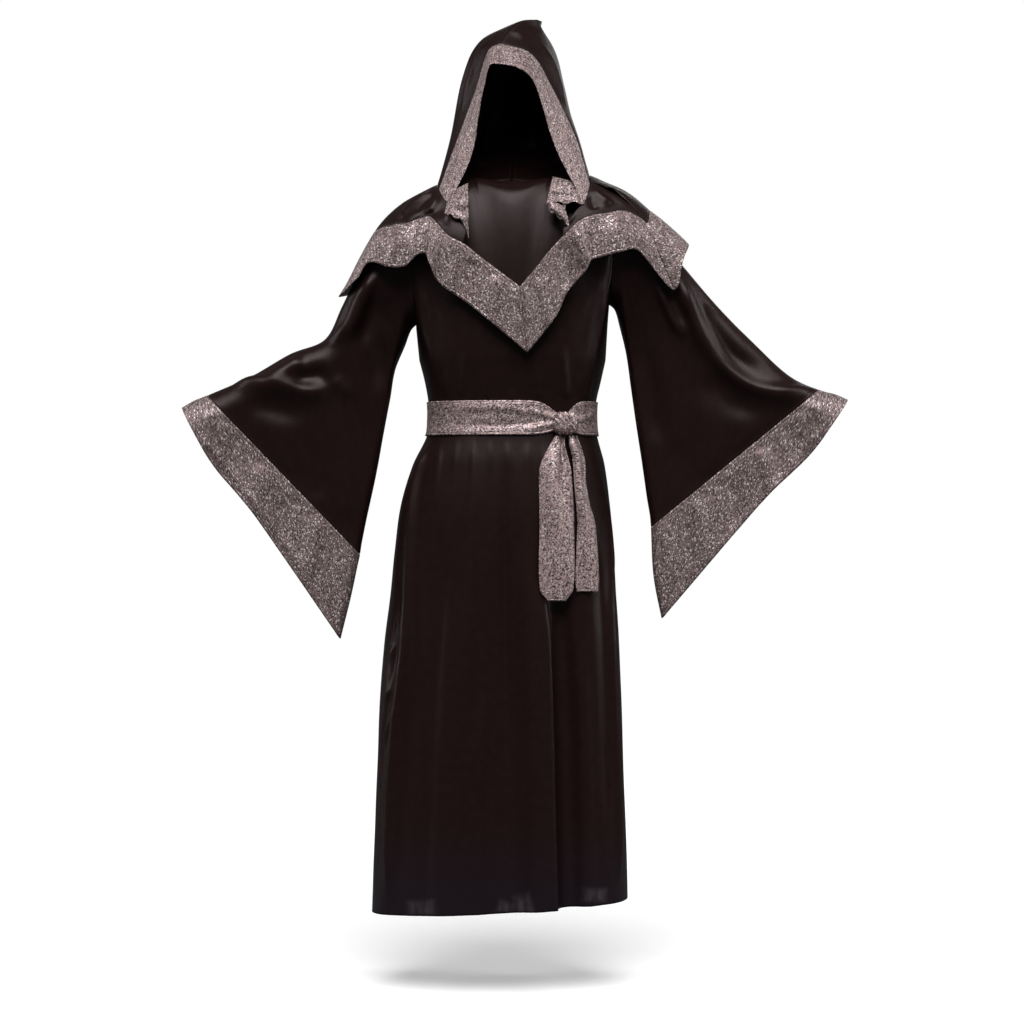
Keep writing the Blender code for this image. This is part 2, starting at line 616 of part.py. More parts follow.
def cape_table(stations):
    rows = []
    for i, (face, *edges, off) in enumerate(stations):
        row = [i]
        for x, z in zip(edges[::2], edges[1::2]):
            row += [x, reach_down(x, z, face) if face else 0.0]
        rows.append(row + [off])
    return rows


CAPE = {-1: cape_table(CAPE_RIGHT), 1: cape_table(CAPE_LEFT)}


def cape_place(side, station, down):
    """Where the cape lies: down 0 at the neck, 1 at the hem band's seam, 2 at the hem."""
    row = smooth_row(CAPE[side], station)
    neck, seam, hem = row[0:2], row[2:4], row[4:6]
    x, reach = mix(neck, seam, down) if down < 1 else mix(seam, hem, down - 1)
    off = mix(CAPE_BASE, row[6], ease(down)) * (1 + 0.25 * max(down - 1, 0))
    return x, reach, off


def cape(side, station, down):
    return over_shoulder(*cape_place(side, station, down))[0]


def cape_normal(side, station, down):
    """Outward normal of the cape, the same for both halves where they meet."""
    if station in (0, LAST):
        return over_shoulder(*cape_place(side, station, down))[1]
    return normal_of(lambda u, v: cape(side, u, v), station, down) * -side


def hood(side, station, down):
    """Point of the hood above a station of the neck edge, down 0 on the crest to 1 at the neck."""
    row = smooth_row(HOOD_RIGHT if side < 0 else HOOD_LEFT, station)
    foot = cape(side, station, 0)
    hoop = ((0.0, *row[0:3]), (0.18, *row[3:6]), (0.42, *row[6:9]), (0.74, *row[9:12]), (1.0, *foot))
    return Vector(smooth_row(hoop, down))


def hood_normal(side, station, down):
    return normal_of(lambda u, v: hood(side, u, v), station, down) * -side


def neck_mitre(side, station):
    """How the cape's wall and the hood's meet at the neck."""
    cloth = cape_normal(side, station, 0)
    if station < HOOD_START:
        return cloth
    rising = hood_normal(side, station, 1)
    if station == LAST:
        rising.x = 0
    return mitre(cloth, rising.normalized())


def crest_mitre(station, down):
    """How the two halves of the hood meet in its centre seam."""
    if station == LAST and down == 0:
        over_crest = crest_mitre(station - 0.25, 0).normalized()
        return (over_crest + crest_mitre(station, 0.04).normalized()).normalized() * 1.5
    return mitre(hood_normal(-1, station, down), hood_normal(1, station, down))


def make_cape():
    for word, side in (("right", -1), ("left", 1)):
        corner = CORNER_RIGHT if side < 0 else CORNER_LEFT
        surface = lambda u, v, side=side: cape(side, u, v)
        for face, start, end, seams in (
            ("front", FRONT_EDGE, corner, "u1 v0 v1"),
            ("back", corner, LAST, "u0 u1 v0 v1"),
        ):
            def rim(u, v, side=side, start=start, end=end):
                station = mix(start, end, u)
                return neck_mitre(side, station) if v == 0 else cape_normal(side, station, v)

            columns = (end - start) * STATION_COLUMNS
            wall(f"cape_{face}_{word}", part_of(surface, start, end), columns, CAPE_ROWS,
                 BLACK_SATIN, seams=seams, rim=rim)
        for face, start, end in (("front", 0, corner), ("back", corner, LAST)):
            def rim(u, v, side=side, start=start, end=end):
                return cape_normal(side, mix(start, end, u), 1 + v)

            columns = (end - start) * STATION_COLUMNS
            wall(f"cape_band_{face}_{word}", part_of(surface, start, end, 1, 2), columns, BAND_ROWS,
                 SILVER_KNIT, seams="u0 u1 v0", rim=rim)


def make_hood():
    for word, side in (("right", -1), ("left", 1)):
        surface = lambda u, v, side=side: hood(side, u, v)
        for name, start, end, finish, seams in (
            ("hood_band", HOOD_START, HOOD_SEAM, SILVER_KNIT, "u1 v0 v1"),
            ("hood", HOOD_SEAM, LAST, BLACK_SATIN, "u0 u1 v0 v1"),
        ):
            def rim(u, v, side=side, start=start, end=end):
                station = mix(start, end, u)
                if v == 1:
                    return neck_mitre(side, station)
                if v == 0 or station == LAST:
                    return crest_mitre(station, v)
                return hood_normal(side, station, v)

            columns = (end - start) * STATION_COLUMNS
            wall(f"{name}_{word}", part_of(surface, start, end), columns, HOOD_ROWS, finish,
                 seams=seams, rim=rim)


def make_front_turns():
    for name, corners in FRONT_TURNS.items():
        low_out, low_in, high_in, high_out = (Vector(corner) for corner in corners)

        def patch(u, v, corners=(low_out, low_in, high_in, high_out)):
            a, b, c, d = corners
            x, z, lift = a.lerp(b, u).lerp(d.lerp(c, u), v)
            swell = 0.006 * math.sin(math.pi * min(max(u, 0), 1)) * math.sin(math.pi * min(max(v, 0), 1))
            return over_shoulder(x, reach_down(x, z, -1), lift + swell)[0]

        wall(name, patch, TURN_STEPS, TURN_STEPS, SILVER_KNIT)


def sash_place(around, up):
    """Sash round the waist: around 0 to 1 from the right side seam by the front."""
    front = around % 1 < 0.5
    u = (around % 1) * 2 if front else (around % 1) * 2 - 1
    panel = robe_panel(front)
    at_knot = math.exp(-(((around - KNOT_AROUND) / KNOT_SPREAD) ** 2))
    height = mix(0.5, up, 1 - SASH_GATHER * at_knot) - SASH_SAG * at_knot
    level = len(LOWER_ROWS) - 1 + 2 * height
    return panel(u, level / ROBE_ROWS) + normal_of(panel, u, level / ROBE_ROWS) * SASH_LIFT


def make_sash():
    wall("sash_wrap", sash_place, 4 * HALF, 2, SILVER_KNIT, tube=True)
    outward = normal_of(sash_place, KNOT_AROUND, 0.5)
    to_left = Vector((0, 0, 1)).cross(outward)
    middle = sash_place(KNOT_AROUND, 0.5) + outward * (WALL / 2 + KNOT_GAP + KNOT_SIZE[1])
    middle.z -= KNOT_DROP
    knot = bmesh.new()
    bmesh.ops.create_uvsphere(knot, u_segments=20, v_segments=12, radius=1.0)
    for vertex in knot.verts:
        across = vertex.co.x * 0.8 + vertex.co.z * 0.6
        groove = 1 - 0.10 * math.cos(KNOT_GROOVES * math.pi * across) ** 2
        square = (abs(vertex.co.x) ** 3 + abs(vertex.co.y) ** 3 + abs(vertex.co.z) ** 3) ** (-1 / 3)
        x, y, z = [c * groove * square * size for c, size in zip(vertex.co, KNOT_SIZE)]
        vertex.co = middle + to_left * x + outward * y + Vector((0, 0, z))
    finished("sash_knot", knot, SILVER_KNIT)
    for name, rows in TAILS.items():
        def tail(u, v, rows=rows):
            height = mix(rows[0][0], rows[-1][0], v)
            low, high, off = smooth_row(rows, height)
            x = mix(low, high, u)
            right, left, front, back = smooth_row(ROBE_LEVELS, height)
            half_width = left if x > 0 else right
            depth = front * (1 - abs(x / half_width) ** ROUND) ** (1 / ROUND)
            bend = 0.004 * math.sin(2 * math.pi * (u + 0.5 * v))
            y = -depth - max(fold_height(FRONT_FOLDS, x, height), 0) - off + bend
            return Vector((x, y, height))

        wall(name, tail, TAIL_COLUMNS, TAIL_ROWS, SILVER_KNIT)


clear_scene()
make_robe()
make_sleeves()
make_cape()
make_hood()
make_front_turns()
make_sash()
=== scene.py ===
import math

import bmesh
import bpy
import numpy as np
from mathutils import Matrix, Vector, noise


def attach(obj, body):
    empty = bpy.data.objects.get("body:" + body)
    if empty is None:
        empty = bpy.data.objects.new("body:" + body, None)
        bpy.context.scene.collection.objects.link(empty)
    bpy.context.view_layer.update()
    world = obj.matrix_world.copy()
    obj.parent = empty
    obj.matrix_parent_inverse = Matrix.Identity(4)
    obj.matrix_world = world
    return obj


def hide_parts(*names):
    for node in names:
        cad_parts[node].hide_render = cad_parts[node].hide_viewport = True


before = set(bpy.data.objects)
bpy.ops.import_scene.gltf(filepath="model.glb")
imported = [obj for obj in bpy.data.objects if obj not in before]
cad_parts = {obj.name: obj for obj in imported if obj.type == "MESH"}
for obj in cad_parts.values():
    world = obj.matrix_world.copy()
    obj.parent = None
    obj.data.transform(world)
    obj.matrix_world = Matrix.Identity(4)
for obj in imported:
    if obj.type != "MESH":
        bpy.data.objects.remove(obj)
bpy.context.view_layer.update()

# Studio: a plain pale floor under the garment, a broad soft light overhead, two tall soft boxes at
# its sides, weak ones in front and behind, and a pale surround. The camera stands level, 5.2 m in
# front of the garment.
WHITE = (1.0, 1.0, 1.0, 1.0)
FLOOR_HEIGHT = -1.534
FLOOR_RADIUS = 40.0
FLOOR_LOOK = {
    "Base Color": (0.93, 0.93, 0.93, 1.0),
    "Roughness": 0.9,
    "Specular IOR Level": 0.1,
    "Emission Color": WHITE,
    "Emission Strength": 0.26,
}
FLOOR_BOUNCE = (0.10, 0.10, 0.10, 1.0)   # what the floor throws back on to the black cloth
SURROUND_SEEN = 1.00
SURROUND_LIGHT = 0.07
CAMERA_PLACE = (0.0, -5.2, -0.6215)
CAMERA_LENS = 94.7
LEVEL = (math.radians(90), 0, 0)
OVERHEAD_LIGHT = 2.9
OVERHEAD_SPREAD = math.radians(44)
OVERHEAD_TILT = math.radians(34)
SOFT_BOXES = (
    # name, place, aimed at, width, height, power
    ("front", (-0.5, -4.0, 3.0), (0.0, 0.0, -0.3), 2.4, 1.6, 30.0),
    ("side_right", (-3.2, 0.3, 0.4), (0.0, 0.0, -0.5), 0.6, 2.6, 34.0),
    ("side_left", (3.2, 0.1, 0.6), (0.0, 0.0, -0.5), 0.6, 2.6, 40.0),
    ("back", (0.6, 4.2, 1.4), (0.0, 0.0, -0.3), 2.4, 1.6, 14.0),
)


def add_object(name, data):
    """An object in the scene for a mesh, a light or a camera."""
    made = bpy.data.objects.new(name, data)
    bpy.context.collection.objects.link(made)
    return made


def set_inputs(tree, node, inputs):
    """Gives a node's inputs their values, or links them to the sockets that inputs names."""
    for socket, value in inputs.items():
        if isinstance(value, bpy.types.NodeSocket):
            tree.links.new(value, node.inputs[socket])
        else:
            node.inputs[socket].default_value = value


def add_node(tree, kind, inputs=None, **settings):
    """A new shader node with its settings and inputs."""
    node = tree.nodes.new(f"ShaderNode{kind}")
    for setting, value in settings.items():
        setattr(node, setting, value)
    set_inputs(tree, node, inputs or {})
    return node


def seen_or_thrown(tree, seen, thrown):
    """A shader that shows one shader to the camera and throws the light of another."""
    ray = add_node(tree, "LightPath")
    return add_node(tree, "MixShader", {0: ray.outputs["Is Camera Ray"], 1: thrown.outputs[0],
                                        2: seen.outputs[0]}).outputs[0]


floor_mesh = bmesh.new()
bmesh.ops.create_circle(floor_mesh, cap_ends=True, segments=96, radius=FLOOR_RADIUS)
bmesh.ops.translate(floor_mesh, verts=floor_mesh.verts, vec=(0, 0, FLOOR_HEIGHT))
floor_data = bpy.data.meshes.new("floor")
floor_mesh.to_mesh(floor_data)
floor_mesh.free()
floor = add_object("floor", floor_data)
floor_paint = bpy.data.materials.new("pale_floor")
floor_paint.use_nodes = True
floor_tree = floor_paint.node_tree
floor_shader = floor_tree.nodes["Principled BSDF"]
set_inputs(floor_tree, floor_shader, FLOOR_LOOK)
dim = add_node(floor_tree, "BsdfDiffuse", {"Color": FLOOR_BOUNCE})
set_inputs(floor_tree, floor_tree.nodes["Material Output"],
           {"Surface": seen_or_thrown(floor_tree, floor_shader, dim)})
floor_data.materials.append(floor_paint)

surround = bpy.data.worlds.new("pale_surround")
bpy.context.scene.world = surround
surround.use_nodes = True
sky = surround.node_tree
sky.nodes.clear()
bright = add_node(sky, "Background", {"Color": WHITE, "Strength": SURROUND_SEEN})
faint = add_node(sky, "Background", {"Color": WHITE, "Strength": SURROUND_LIGHT})
add_node(sky, "OutputWorld", {"Surface": seen_or_thrown(sky, bright, faint)})

for name, place, aim, width, height, power in SOFT_BOXES:
    lamp = bpy.data.lights.new(name, "AREA")
    lamp.shape = "RECTANGLE"
    lamp.size = width
    lamp.size_y = height
    lamp.energy = power
    box = add_object(name, lamp)
    box.location = place
    box.rotation_euler = (Vector(aim) - Vector(place)).to_track_quat("-Z", "Y").to_euler()

overhead = bpy.data.lights.new("overhead", "SUN")
overhead.energy = OVERHEAD_LIGHT
overhead.angle = OVERHEAD_SPREAD
add_object("overhead", overhead).rotation_euler = (OVERHEAD_TILT, 0, 0)

lens = bpy.data.cameras.new("camera")
lens.lens = CAMERA_LENS
camera = add_object("camera", lens)
camera.location = CAMERA_PLACE
camera.rotation_euler = LEVEL
bpy.context.scene.camera = camera
bpy.context.scene.view_settings.view_transform = "Standard"

# Robe: a long pull-on robe of thin black polyester satin, a front panel and a back panel sewn at
# the side seams and shoulders, with a round neck, armholes and a narrow turned hem. The sash
# gathers it at the waist, and below it the skirt falls in long soft folds.
SATIN_THICK = 0.0009
STEP = 0.002            # parameter step for the slope of a surface
ROUND = 2.5             # exponent of the robe's sections, 2 is an ellipse
PER_METRE = 1000        # heights, half widths and places of creases are in millimetres
PATH_STEPS = 8          # steps of a crease's path between two of its places
REACH = 2.6             # half widths out to which a crease still lifts the cloth
TOWARDS = 0.02          # least part of a normal that faces the side a crease is on
SAME_FACE = 0.1         # least agreement of two normals on the same face of the cloth
STEEP_SHARE = 0.65      # how much narrower the flank on a crease's steep side can be
HELD = 0.022            # distance from a sewn edge at which creases reach their full height
SEAM_SINK = 0.0007      # how far a sewn edge is pulled in
SEWN_STEP = 0.002       # one more row of cloth next to a sewn edge
TOUCHING = 1e-5         # points this near count as on the edge
MERGED = 1e-6           # points this near become one where a tube closes
LONGER_DOWN = 2.2       # how much longer the swells are downwards
ROBE_GRID = (150, 250)
ROBE_LEVELS = (
    # height, right, left, front, back
    (-1.390, 0.268, 0.222, 0.150, 0.150),
    (-1.300, 0.266, 0.220, 0.149, 0.150),
    (-1.185, 0.262, 0.216, 0.147, 0.149),
    (-1.060, 0.257, 0.212, 0.144, 0.148),
    (-0.960, 0.253, 0.209, 0.141, 0.147),
    (-0.868, 0.245, 0.205, 0.138, 0.146),
    (-0.780, 0.234, 0.200, 0.135, 0.146),
    (-0.700, 0.226, 0.196, 0.132, 0.146),
    (-0.608, 0.214, 0.188, 0.127, 0.141),
    (-0.530, 0.190, 0.178, 0.118, 0.126),
    (-0.476, 0.164, 0.164, 0.108, 0.109),
    (-0.443, 0.160, 0.161, 0.105, 0.105),
    (-0.410, 0.161, 0.162, 0.107, 0.106),
    (-0.370, 0.168, 0.171, 0.113, 0.111),
    (-0.330, 0.178, 0.180, 0.118, 0.117),
)
CHEST_LINE = -0.330
SASH_LOW = -0.476
SASH_MIDDLE = -0.443
SASH_HIGH = -0.410
HEM_RIGHT = -1.388
HEM_LEFT = -1.360
NECK_HALF_WIDTH = 0.080
NECK_FRONT = 0.066
NECK_BACK = 0.048
NECK_FRONT_HEIGHT = 0.010
NECK_SIDE_HEIGHT = 0.024
NECK_BACK_HEIGHT = 0.019
RISE_RIGHT = 0.0115
RISE_LEFT = 0.0194
FRONT_FOLDS = (
    # top x, hem x, width, depth
    (-0.185, -0.250, 0.022, 0.010),
    (-0.090, -0.120, 0.045, 0.005),
    (-0.010, -0.010, 0.040, -0.006),
    (0.032, 0.052, 0.026, 0.016),
    (0.078, 0.112, 0.030, -0.020),
    (0.165, 0.203, 0.024, 0.012),
)
BACK_FOLDS = (
    # top x, hem x, width, depth
    (-0.150, -0.200, 0.030, 0.010),
    (-0.095, -0.130, 0.028, -0.014),
    (-0.040, -0.060, 0.030, 0.013),
    (0.015, 0.015, 0.028, -0.013),
    (0.065, 0.085, 0.030, 0.012),
    (0.120, 0.150, 0.028, -0.012),
)
FOLDS_START = -0.500
FOLDS_FULL = -1.000
FOLDS_FADE = 0.3        # cosine towards the side seams below which the folds fade
FOLDS_SPREAD = 0.4      # how far a fold also moves the cloth sideways
SLEEVE_RIGHT = (
    # t, top x, top z, bottom x, bottom z, half depth, centre y
    (0.00, -0.200, -0.029, -0.184, -0.2586, 0.076, 0.000),
    (0.05, -0.226, -0.050, -0.196, -0.272, 0.072, -0.001),
    (0.10, -0.250, -0.077, -0.206, -0.298, 0.068, -0.003),
    (0.22, -0.291, -0.149, -0.226, -0.349, 0.061, -0.007),
    (0.34, -0.327, -0.226, -0.236, -0.407, 0.056, -0.012),
    (0.46, -0.361, -0.291, -0.247, -0.471, 0.054, -0.016),
    (0.58, -0.428, -0.319, -0.258, -0.531, 0.053, -0.021),
    (0.69, -0.508, -0.365, -0.275, -0.615, 0.052, -0.026),
    (0.80, -0.583, -0.398, -0.292, -0.702, 0.050, -0.031),
    (0.90, -0.608, -0.408, -0.310, -0.784, 0.050, -0.036),
    (1.00, -0.630, -0.421, -0.329, -0.864, 0.050, -0.040),
)
SLEEVE_LEFT = (
    # t, top x, top z, bottom x, bottom z, half depth, centre y
    (0.00, 0.200, -0.007, 0.1866, -0.220, 0.076, 0.000),
    (0.05, 0.225, -0.027, 0.199, -0.233, 0.072, -0.001),
    (0.10, 0.248, -0.053, 0.208, -0.266, 0.068, -0.003),
    (0.22, 0.299, -0.113, 0.220, -0.319, 0.061, -0.007),
    (0.34, 0.354, -0.178, 0.229, -0.379, 0.056, -0.012),
    (0.46, 0.413, -0.246, 0.239, -0.451, 0.054, -0.016),
    (0.58, 0.472, -0.305, 0.249, -0.521, 0.053, -0.021),
    (0.69, 0.531, -0.359, 0.258, -0.590, 0.052, -0.026),
    (0.80, 0.587, -0.387, 0.267, -0.650, 0.050, -0.031),
    (0.90, 0.617, -0.395, 0.272, -0.743, 0.050, -0.036),
    (1.00, 0.641, -0.406, 0.287, -0.825, 0.050, -0.040),
)
CUFF_SEAM = 0.80
HANG = 0.72             # share of its depth that a sleeve loses towards its lower edge
HANG_AT_ARMHOLE = 0.1
HANG_FROM = 0.3
LOWER_EDGE = 0.016      # how soon the lower edge rounds off
EDGE_AT_ARMHOLE = 0.07
EDGE_FROM = 0.25
CUFF_BOW = 0.012        # bow of the cuff's front, how far down it and how wide
BOW_DOWN = 0.22
BOW_WIDTH = 0.16
ARM_COLUMNS = 12
SHOULDER_COLUMNS = 3
NECK_COLUMNS = 3
HALF = ARM_COLUMNS + SHOULDER_COLUMNS + NECK_COLUMNS
COLUMN_TURNS = ((0.00, 0.0), (0.33, math.radians(27)), (0.78, math.radians(58)),
                (1.00, math.radians(90)))
SKIRT_ROWS = 10
WAIST = (SASH_LOW, SASH_MIDDLE, SASH_HIGH, -0.370, CHEST_LINE)
CHEST = SKIRT_ROWS + len(WAIST) - 1
UPPER_ROWS = 6
ROBE_ROWS = CHEST + UPPER_ROWS
ARM_EASE = 5            # columns beside the armhole over which the chest flattens
CHEST_ROUND = (1.8, 3.0)
NECK_SLOPE = 1.7
CHEST_OUT = 0.6
FRONT_CREASES = (
    # facing, height, half width, steep side, fade in, fade out, places across and up, in mm
    (-1, 10.5, 12, 0.7, 0.1, 0.1, (-155, -480), (-185, -565), (-196, -684), (-202, -804),
     (-209, -908), (-224, -1057), (-232, -1200), (-237, -1380)),
    (-1, -7, 9, 0, 0.2, 0.1, (-172, -486), (-204, -599), (-215, -712), (-221, -825), (-230, -938),
     (-249, -1089), (-256, -1370)),
    (-1, 5, 6, 0, 0.4, 0.4, (-206, -830), (-222, -870), (-236, -915)),
    (-1, 5.6, 7, 0, 0.4, 0.4, (-211, -905), (-229, -952), (-246, -985)),
    (-1, 5, 7, 0, 0.4, 0.4, (-220, -990), (-236, -1030), (-248, -1085)),
    (-1, 13, 16, -0.9, 0.4, 0, (56, -730), (62, -850), (71, -1087), (78, -1380)),
    (-1, -9, 22, 0, 0.4, 0, (84, -700), (92, -850), (102, -1087), (110, -1380)),
    (-1, -4.4, 8, 0, 0.2, 0.4, (-13, -500), (-15, -787), (-11, -1120)),
    (-1, 4.2, 16, 0.3, 0.3, 0.3, (-70, -500), (-84, -760), (-104, -1150)),
    (-1, -4, 14, 0, 0.3, 0, (-120, -640), (-146, -960), (-168, -1370)),
    (-1, 3.6, 12, 0, 0.4, 0, (-52, -900), (-61, -1150), (-64, -1380)),
    (-1, 9, 10, -0.6, 0.2, 0.1, (166, -530), (186, -690), (191, -893), (199, -1100), (204, -1340)),
    (-1, -5, 10, 0, 0.3, 0.2, (156, -600), (172, -850), (180, -1250)),
    (-1, 4, 12, 0, 0.3, 0, (128, -820), (138, -1080), (146, -1370)),
    # gathers that the sash draws in below and above it
    (-1, 1.8, 6, 0, 0.35, 0.6, (-132, -482), (-140, -540), (-150, -610)),
    (-1, 1.4, 5, 0, 0.35, 0.6, (-104, -480), (-108, -520), (-112, -570)),
    (-1, 1.7, 6, 0, 0.35, 0.6, (-72, -480), (-74, -540), (-77, -640)),
    (-1, 1.3, 5, 0, 0.35, 0.6, (-42, -480), (-43, -520), (-44, -560)),
    (-1, 1.6, 6, 0, 0.35, 0.6, (-10, -480), (-9, -530), (-8, -590)),
    (-1, 1.8, 6, 0, 0.35, 0.6, (26, -482), (30, -540), (36, -650)),
    (-1, 1.8, 6, 0, 0.35, 0.6, (60, -490), (62, -540), (64, -590)),
    (-1, 2, 6, 0, 0.35, 0.6, (130, -490), (140, -560), (148, -640)),
    (-1, 2.6, 6, 0, 0.6, 0.1, (-118, -330), (-122, -370), (-126, -406)),
    (-1, 2.2, 7, 0, 0.6, 0.1, (-79, -287), (-91, -346), (-98, -406)),
    (-1, 2.2, 6, 0, 0.6, 0.1, (-48, -350), (-50, -380), (-51, -406)),
    (-1, -2.2, 10, 0, 0.5, 0.2, (4, -300), (2, -350), (0, -406)),
    (-1, 2.4, 7, 0, 0.6, 0.1, (40, -330), (46, -370), (50, -410)),
    (-1, 3, 8, 0, 0.5, 0.1, (91, -278), (98, -338), (102, -410)),
    (-1, 3, 8, 0.3, 0.5, 0.1, (164, -290), (152, -350), (142, -410)),
    # soft drag lines from the armholes
    (-1, 2, 12, 0.3, 0.2, 0.5, (-176, -245), (-160, -300), (-150, -380)),
    (-1, 1.5, 10, 0, 0.3, 0.5, (-176, -200), (-140, -235), (-112, -290)),
    (-1, 2, 12, -0.3, 0.2, 0.5, (180, -215), (168, -270), (160, -350)),
    (-1, 1.5, 10, 0, 0.3, 0.5, (180, -180), (146, -215), (118, -270)),
)
BACK_CREASES = (
    # facing, height, half width, steep side, fade in, fade out, places across and up, in mm
    (1, 5, 12, 0.4, 0.3, 0, (-128, -540), (-160, -800), (-188, -1380)),
    (1, -4, 12, 0, 0.3, 0, (-104, -560), (-128, -850), (-150, -1380)),
    (1, 5.5, 13, -0.4, 0.3, 0, (-48, -520), (-58, -830), (-70, -1380)),
    (1, -4.5, 12, 0, 0.3, 0, (-18, -520), (-22, -850), (-26, -1380)),
    (1, 4.5, 12, 0.3, 0.3, 0, (40, -540), (50, -800), (62, -1380)),
    (1, 5, 13, -0.3, 0.3, 0, (92, -530), (108, -860), (124, -1380)),
    (1, -4, 11, 0, 0.3, 0, (116, -550), (138, -880), (160, -1380)),
    (1, 4, 12, 0.3, 0.3, 0, (140, -560), (165, -820), (186, -1370)),
    (1, 3, 6, 0, 0.1, 0.7, (-134, -484), (-142, -540), (-150, -620)),
    (1, 3, 6, 0, 0.1, 0.7, (-92, -482), (-96, -530), (-100, -590)),
    (1, 3.4, 7, 0, 0.1, 0.7, (-52, -480), (-53, -540), (-55, -640)),
    (1, 2.6, 6, 0, 0.1, 0.7, (-16, -480), (-16, -520), (-17, -570)),
    (1, 3.2, 7, 0, 0.1, 0.7, (22, -480), (23, -540), (26, -630)),
    (1, 2.8, 6, 0, 0.1, 0.7, (62, -482), (65, -530), (68, -600)),
    (1, 3.4, 7, 0, 0.1, 0.7, (104, -484), (110, -550), (116, -650)),
    (1, 2.8, 6, 0, 0.6, 0.1, (-112, -330), (-110, -370), (-108, -406)),
    (1, 3, 7, 0, 0.6, 0.1, (-64, -290), (-62, -350), (-60, -406)),
    (1, 2.6, 6, 0, 0.6, 0.1, (-14, -330), (-14, -370), (-14, -406)),
    (1, 3, 7, 0, 0.6, 0.1, (38, -300), (36, -350), (34, -406)),
    (1, 2.8, 6, 0, 0.6, 0.1, (90, -320), (87, -370), (84, -406)),
    (1, 4, 12, -0.3, 0.2, 0.5, (-176, -240), (-160, -300), (-148, -380)),
    (1, 3.2, 10, 0, 0.3, 0.5, (-174, -170), (-120, -215), (-70, -290)),
    (1, 4, 12, 0.3, 0.2, 0.5, (180, -210), (166, -270), (156, -360)),
    (1, 3.2, 10, 0, 0.3, 0.5, (176, -150), (126, -200), (80, -280)),
)


def ease(t):
    """Smooth step of an array from 0 to 1."""
    t = np.clip(t, 0, 1)
    return t * t * (3 - 2 * t)


def mix(a, b, t):
    return a + (b - a) * t


def smooth_between(keys, values, key):
    """Values at each key, smooth between the rows that keys and values give, straight past them."""
    keys = np.asarray(keys, dtype=float)
    values = np.asarray(values, dtype=float)
    key = np.asarray(key, dtype=float)
    low = np.maximum(np.arange(len(keys)) - 1, 0)
    high = np.minimum(np.arange(len(keys)) + 1, len(keys) - 1)
    across = (-1,) + (1,) * (values.ndim - 1)
    slopes = (values[high] - values[low]) / (keys[high] - keys[low]).reshape(across)
    row = np.clip(np.searchsorted(keys, key, side="right") - 1, 0, len(keys) - 2)
    each = (np.arange(len(key)),) if values.ndim == 3 else ()
    start, finish = values[(row, *each)], values[(row + 1, *each)]
    leave, arrive = slopes[(row, *each)], slopes[(row + 1, *each)]
    span = (keys[row + 1] - keys[row])[:, None]
    t = (key - keys[row])[:, None] / span
    inside = (2 * t**3 - 3 * t**2 + 1) * start + (t**3 - 2 * t**2 + t) * span * leave
    inside = inside + (3 * t**2 - 2 * t**3) * finish + (t**3 - t**2) * span * arrive
    before = start + leave * span * t
    after = finish + arrive * span * (t - 1)
    return np.where(t < 0, before, np.where(t > 1, after, inside))


def smooth_row(table, key):
    """The columns of a table after its first, at each key."""
    data = np.asarray(table, dtype=float)
    return smooth_between(data[:, 0], data[:, 1:], key).T


def unit(vectors):
    return vectors / np.maximum(np.linalg.norm(vectors, axis=-1, keepdims=True), 1e-12)


def normal_of(surface, u, v):
    """Outward normals of a surface whose u runs to the wearer's left and v upwards."""
    across = surface(u + STEP, v) - surface(u - STEP, v)
    along = surface(u, v + STEP) - surface(u, v - STEP)
    return unit(np.cross(across, along))


def fold_height(folds, x, z):
    """How far the long folds of the skirt lift its cloth at places across and up."""
    down = (FOLDS_START - z) / (FOLDS_START - HEM_RIGHT)
    lift = np.zeros(np.shape(x))
    for top_x, hem_x, width, depth in folds:
        lift += depth * np.exp(-(((x - mix(top_x, hem_x, down)) / width) ** 2))
    return lift * ease((FOLDS_START - z) / (FOLDS_START - FOLDS_FULL))


def robe_section(z, angle):
    """Points of the robe's body at heights, by the angle from the centre front to the left."""
    right, left, front, back = smooth_row(ROBE_LEVELS, z)
    sine = np.sin(angle)
    cosine = np.cos(angle)
    half_width = np.where(sine > 0, left, right)
    depth = np.where(cosine > 0, front, back)
    reach = (abs(sine) ** ROUND + abs(cosine) ** ROUND) ** (-1 / ROUND)
    x = reach * half_width * sine
    lift = np.where(cosine > 0, fold_height(FRONT_FOLDS, x, z), fold_height(BACK_FOLDS, x, z))
    lift = lift * ease(abs(cosine) / FOLDS_FADE)
    return np.stack([x + sine * FOLDS_SPREAD * lift, -cosine * (reach * depth + lift), z], axis=-1)


def sleeve(side, t, around):
    """Points of a sleeve: t from the armhole to the cuff edge, around from the top by the front."""
    table = SLEEVE_RIGHT if side < 0 else SLEEVE_LEFT
    top_x, top_z, low_x, low_z, half_depth, middle_y = smooth_row(table, t)
    length = np.hypot(low_x - top_x, low_z - top_z)
    angle = 2 * math.pi * around
    down = (1 - np.cos(angle)) / 2
    hang = mix(HANG_AT_ARMHOLE, HANG, ease(t / HANG_FROM))
    edge = mix(EDGE_AT_ARMHOLE, LOWER_EDGE, ease(t / EDGE_FROM))
    crown = np.sqrt(1 - (1 - np.minimum(1.0, down * length / half_depth)) ** 2)
    foot = np.sqrt(1 - (1 - np.minimum(1.0, (1 - down) * length / edge)) ** 2)
    depth = half_depth * crown * foot * (1 - hang * down)
    bow = CUFF_BOW * ease((t - CUFF_SEAM) / (1 - CUFF_SEAM))
    bow = bow * np.exp(-(((down - BOW_DOWN) / BOW_WIDTH) ** 2))
    out_x = (low_z - top_z) / length
    out_z = (top_x - low_x) / length
    outward = np.where(out_x * side < 0, -1, 1) * bow
    return np.stack([mix(top_x, low_x, down) + out_x * outward,
                     middle_y - np.copysign(depth, np.sin(angle)),
                     mix(top_z, low_z, down) + out_z * outward], axis=-1)


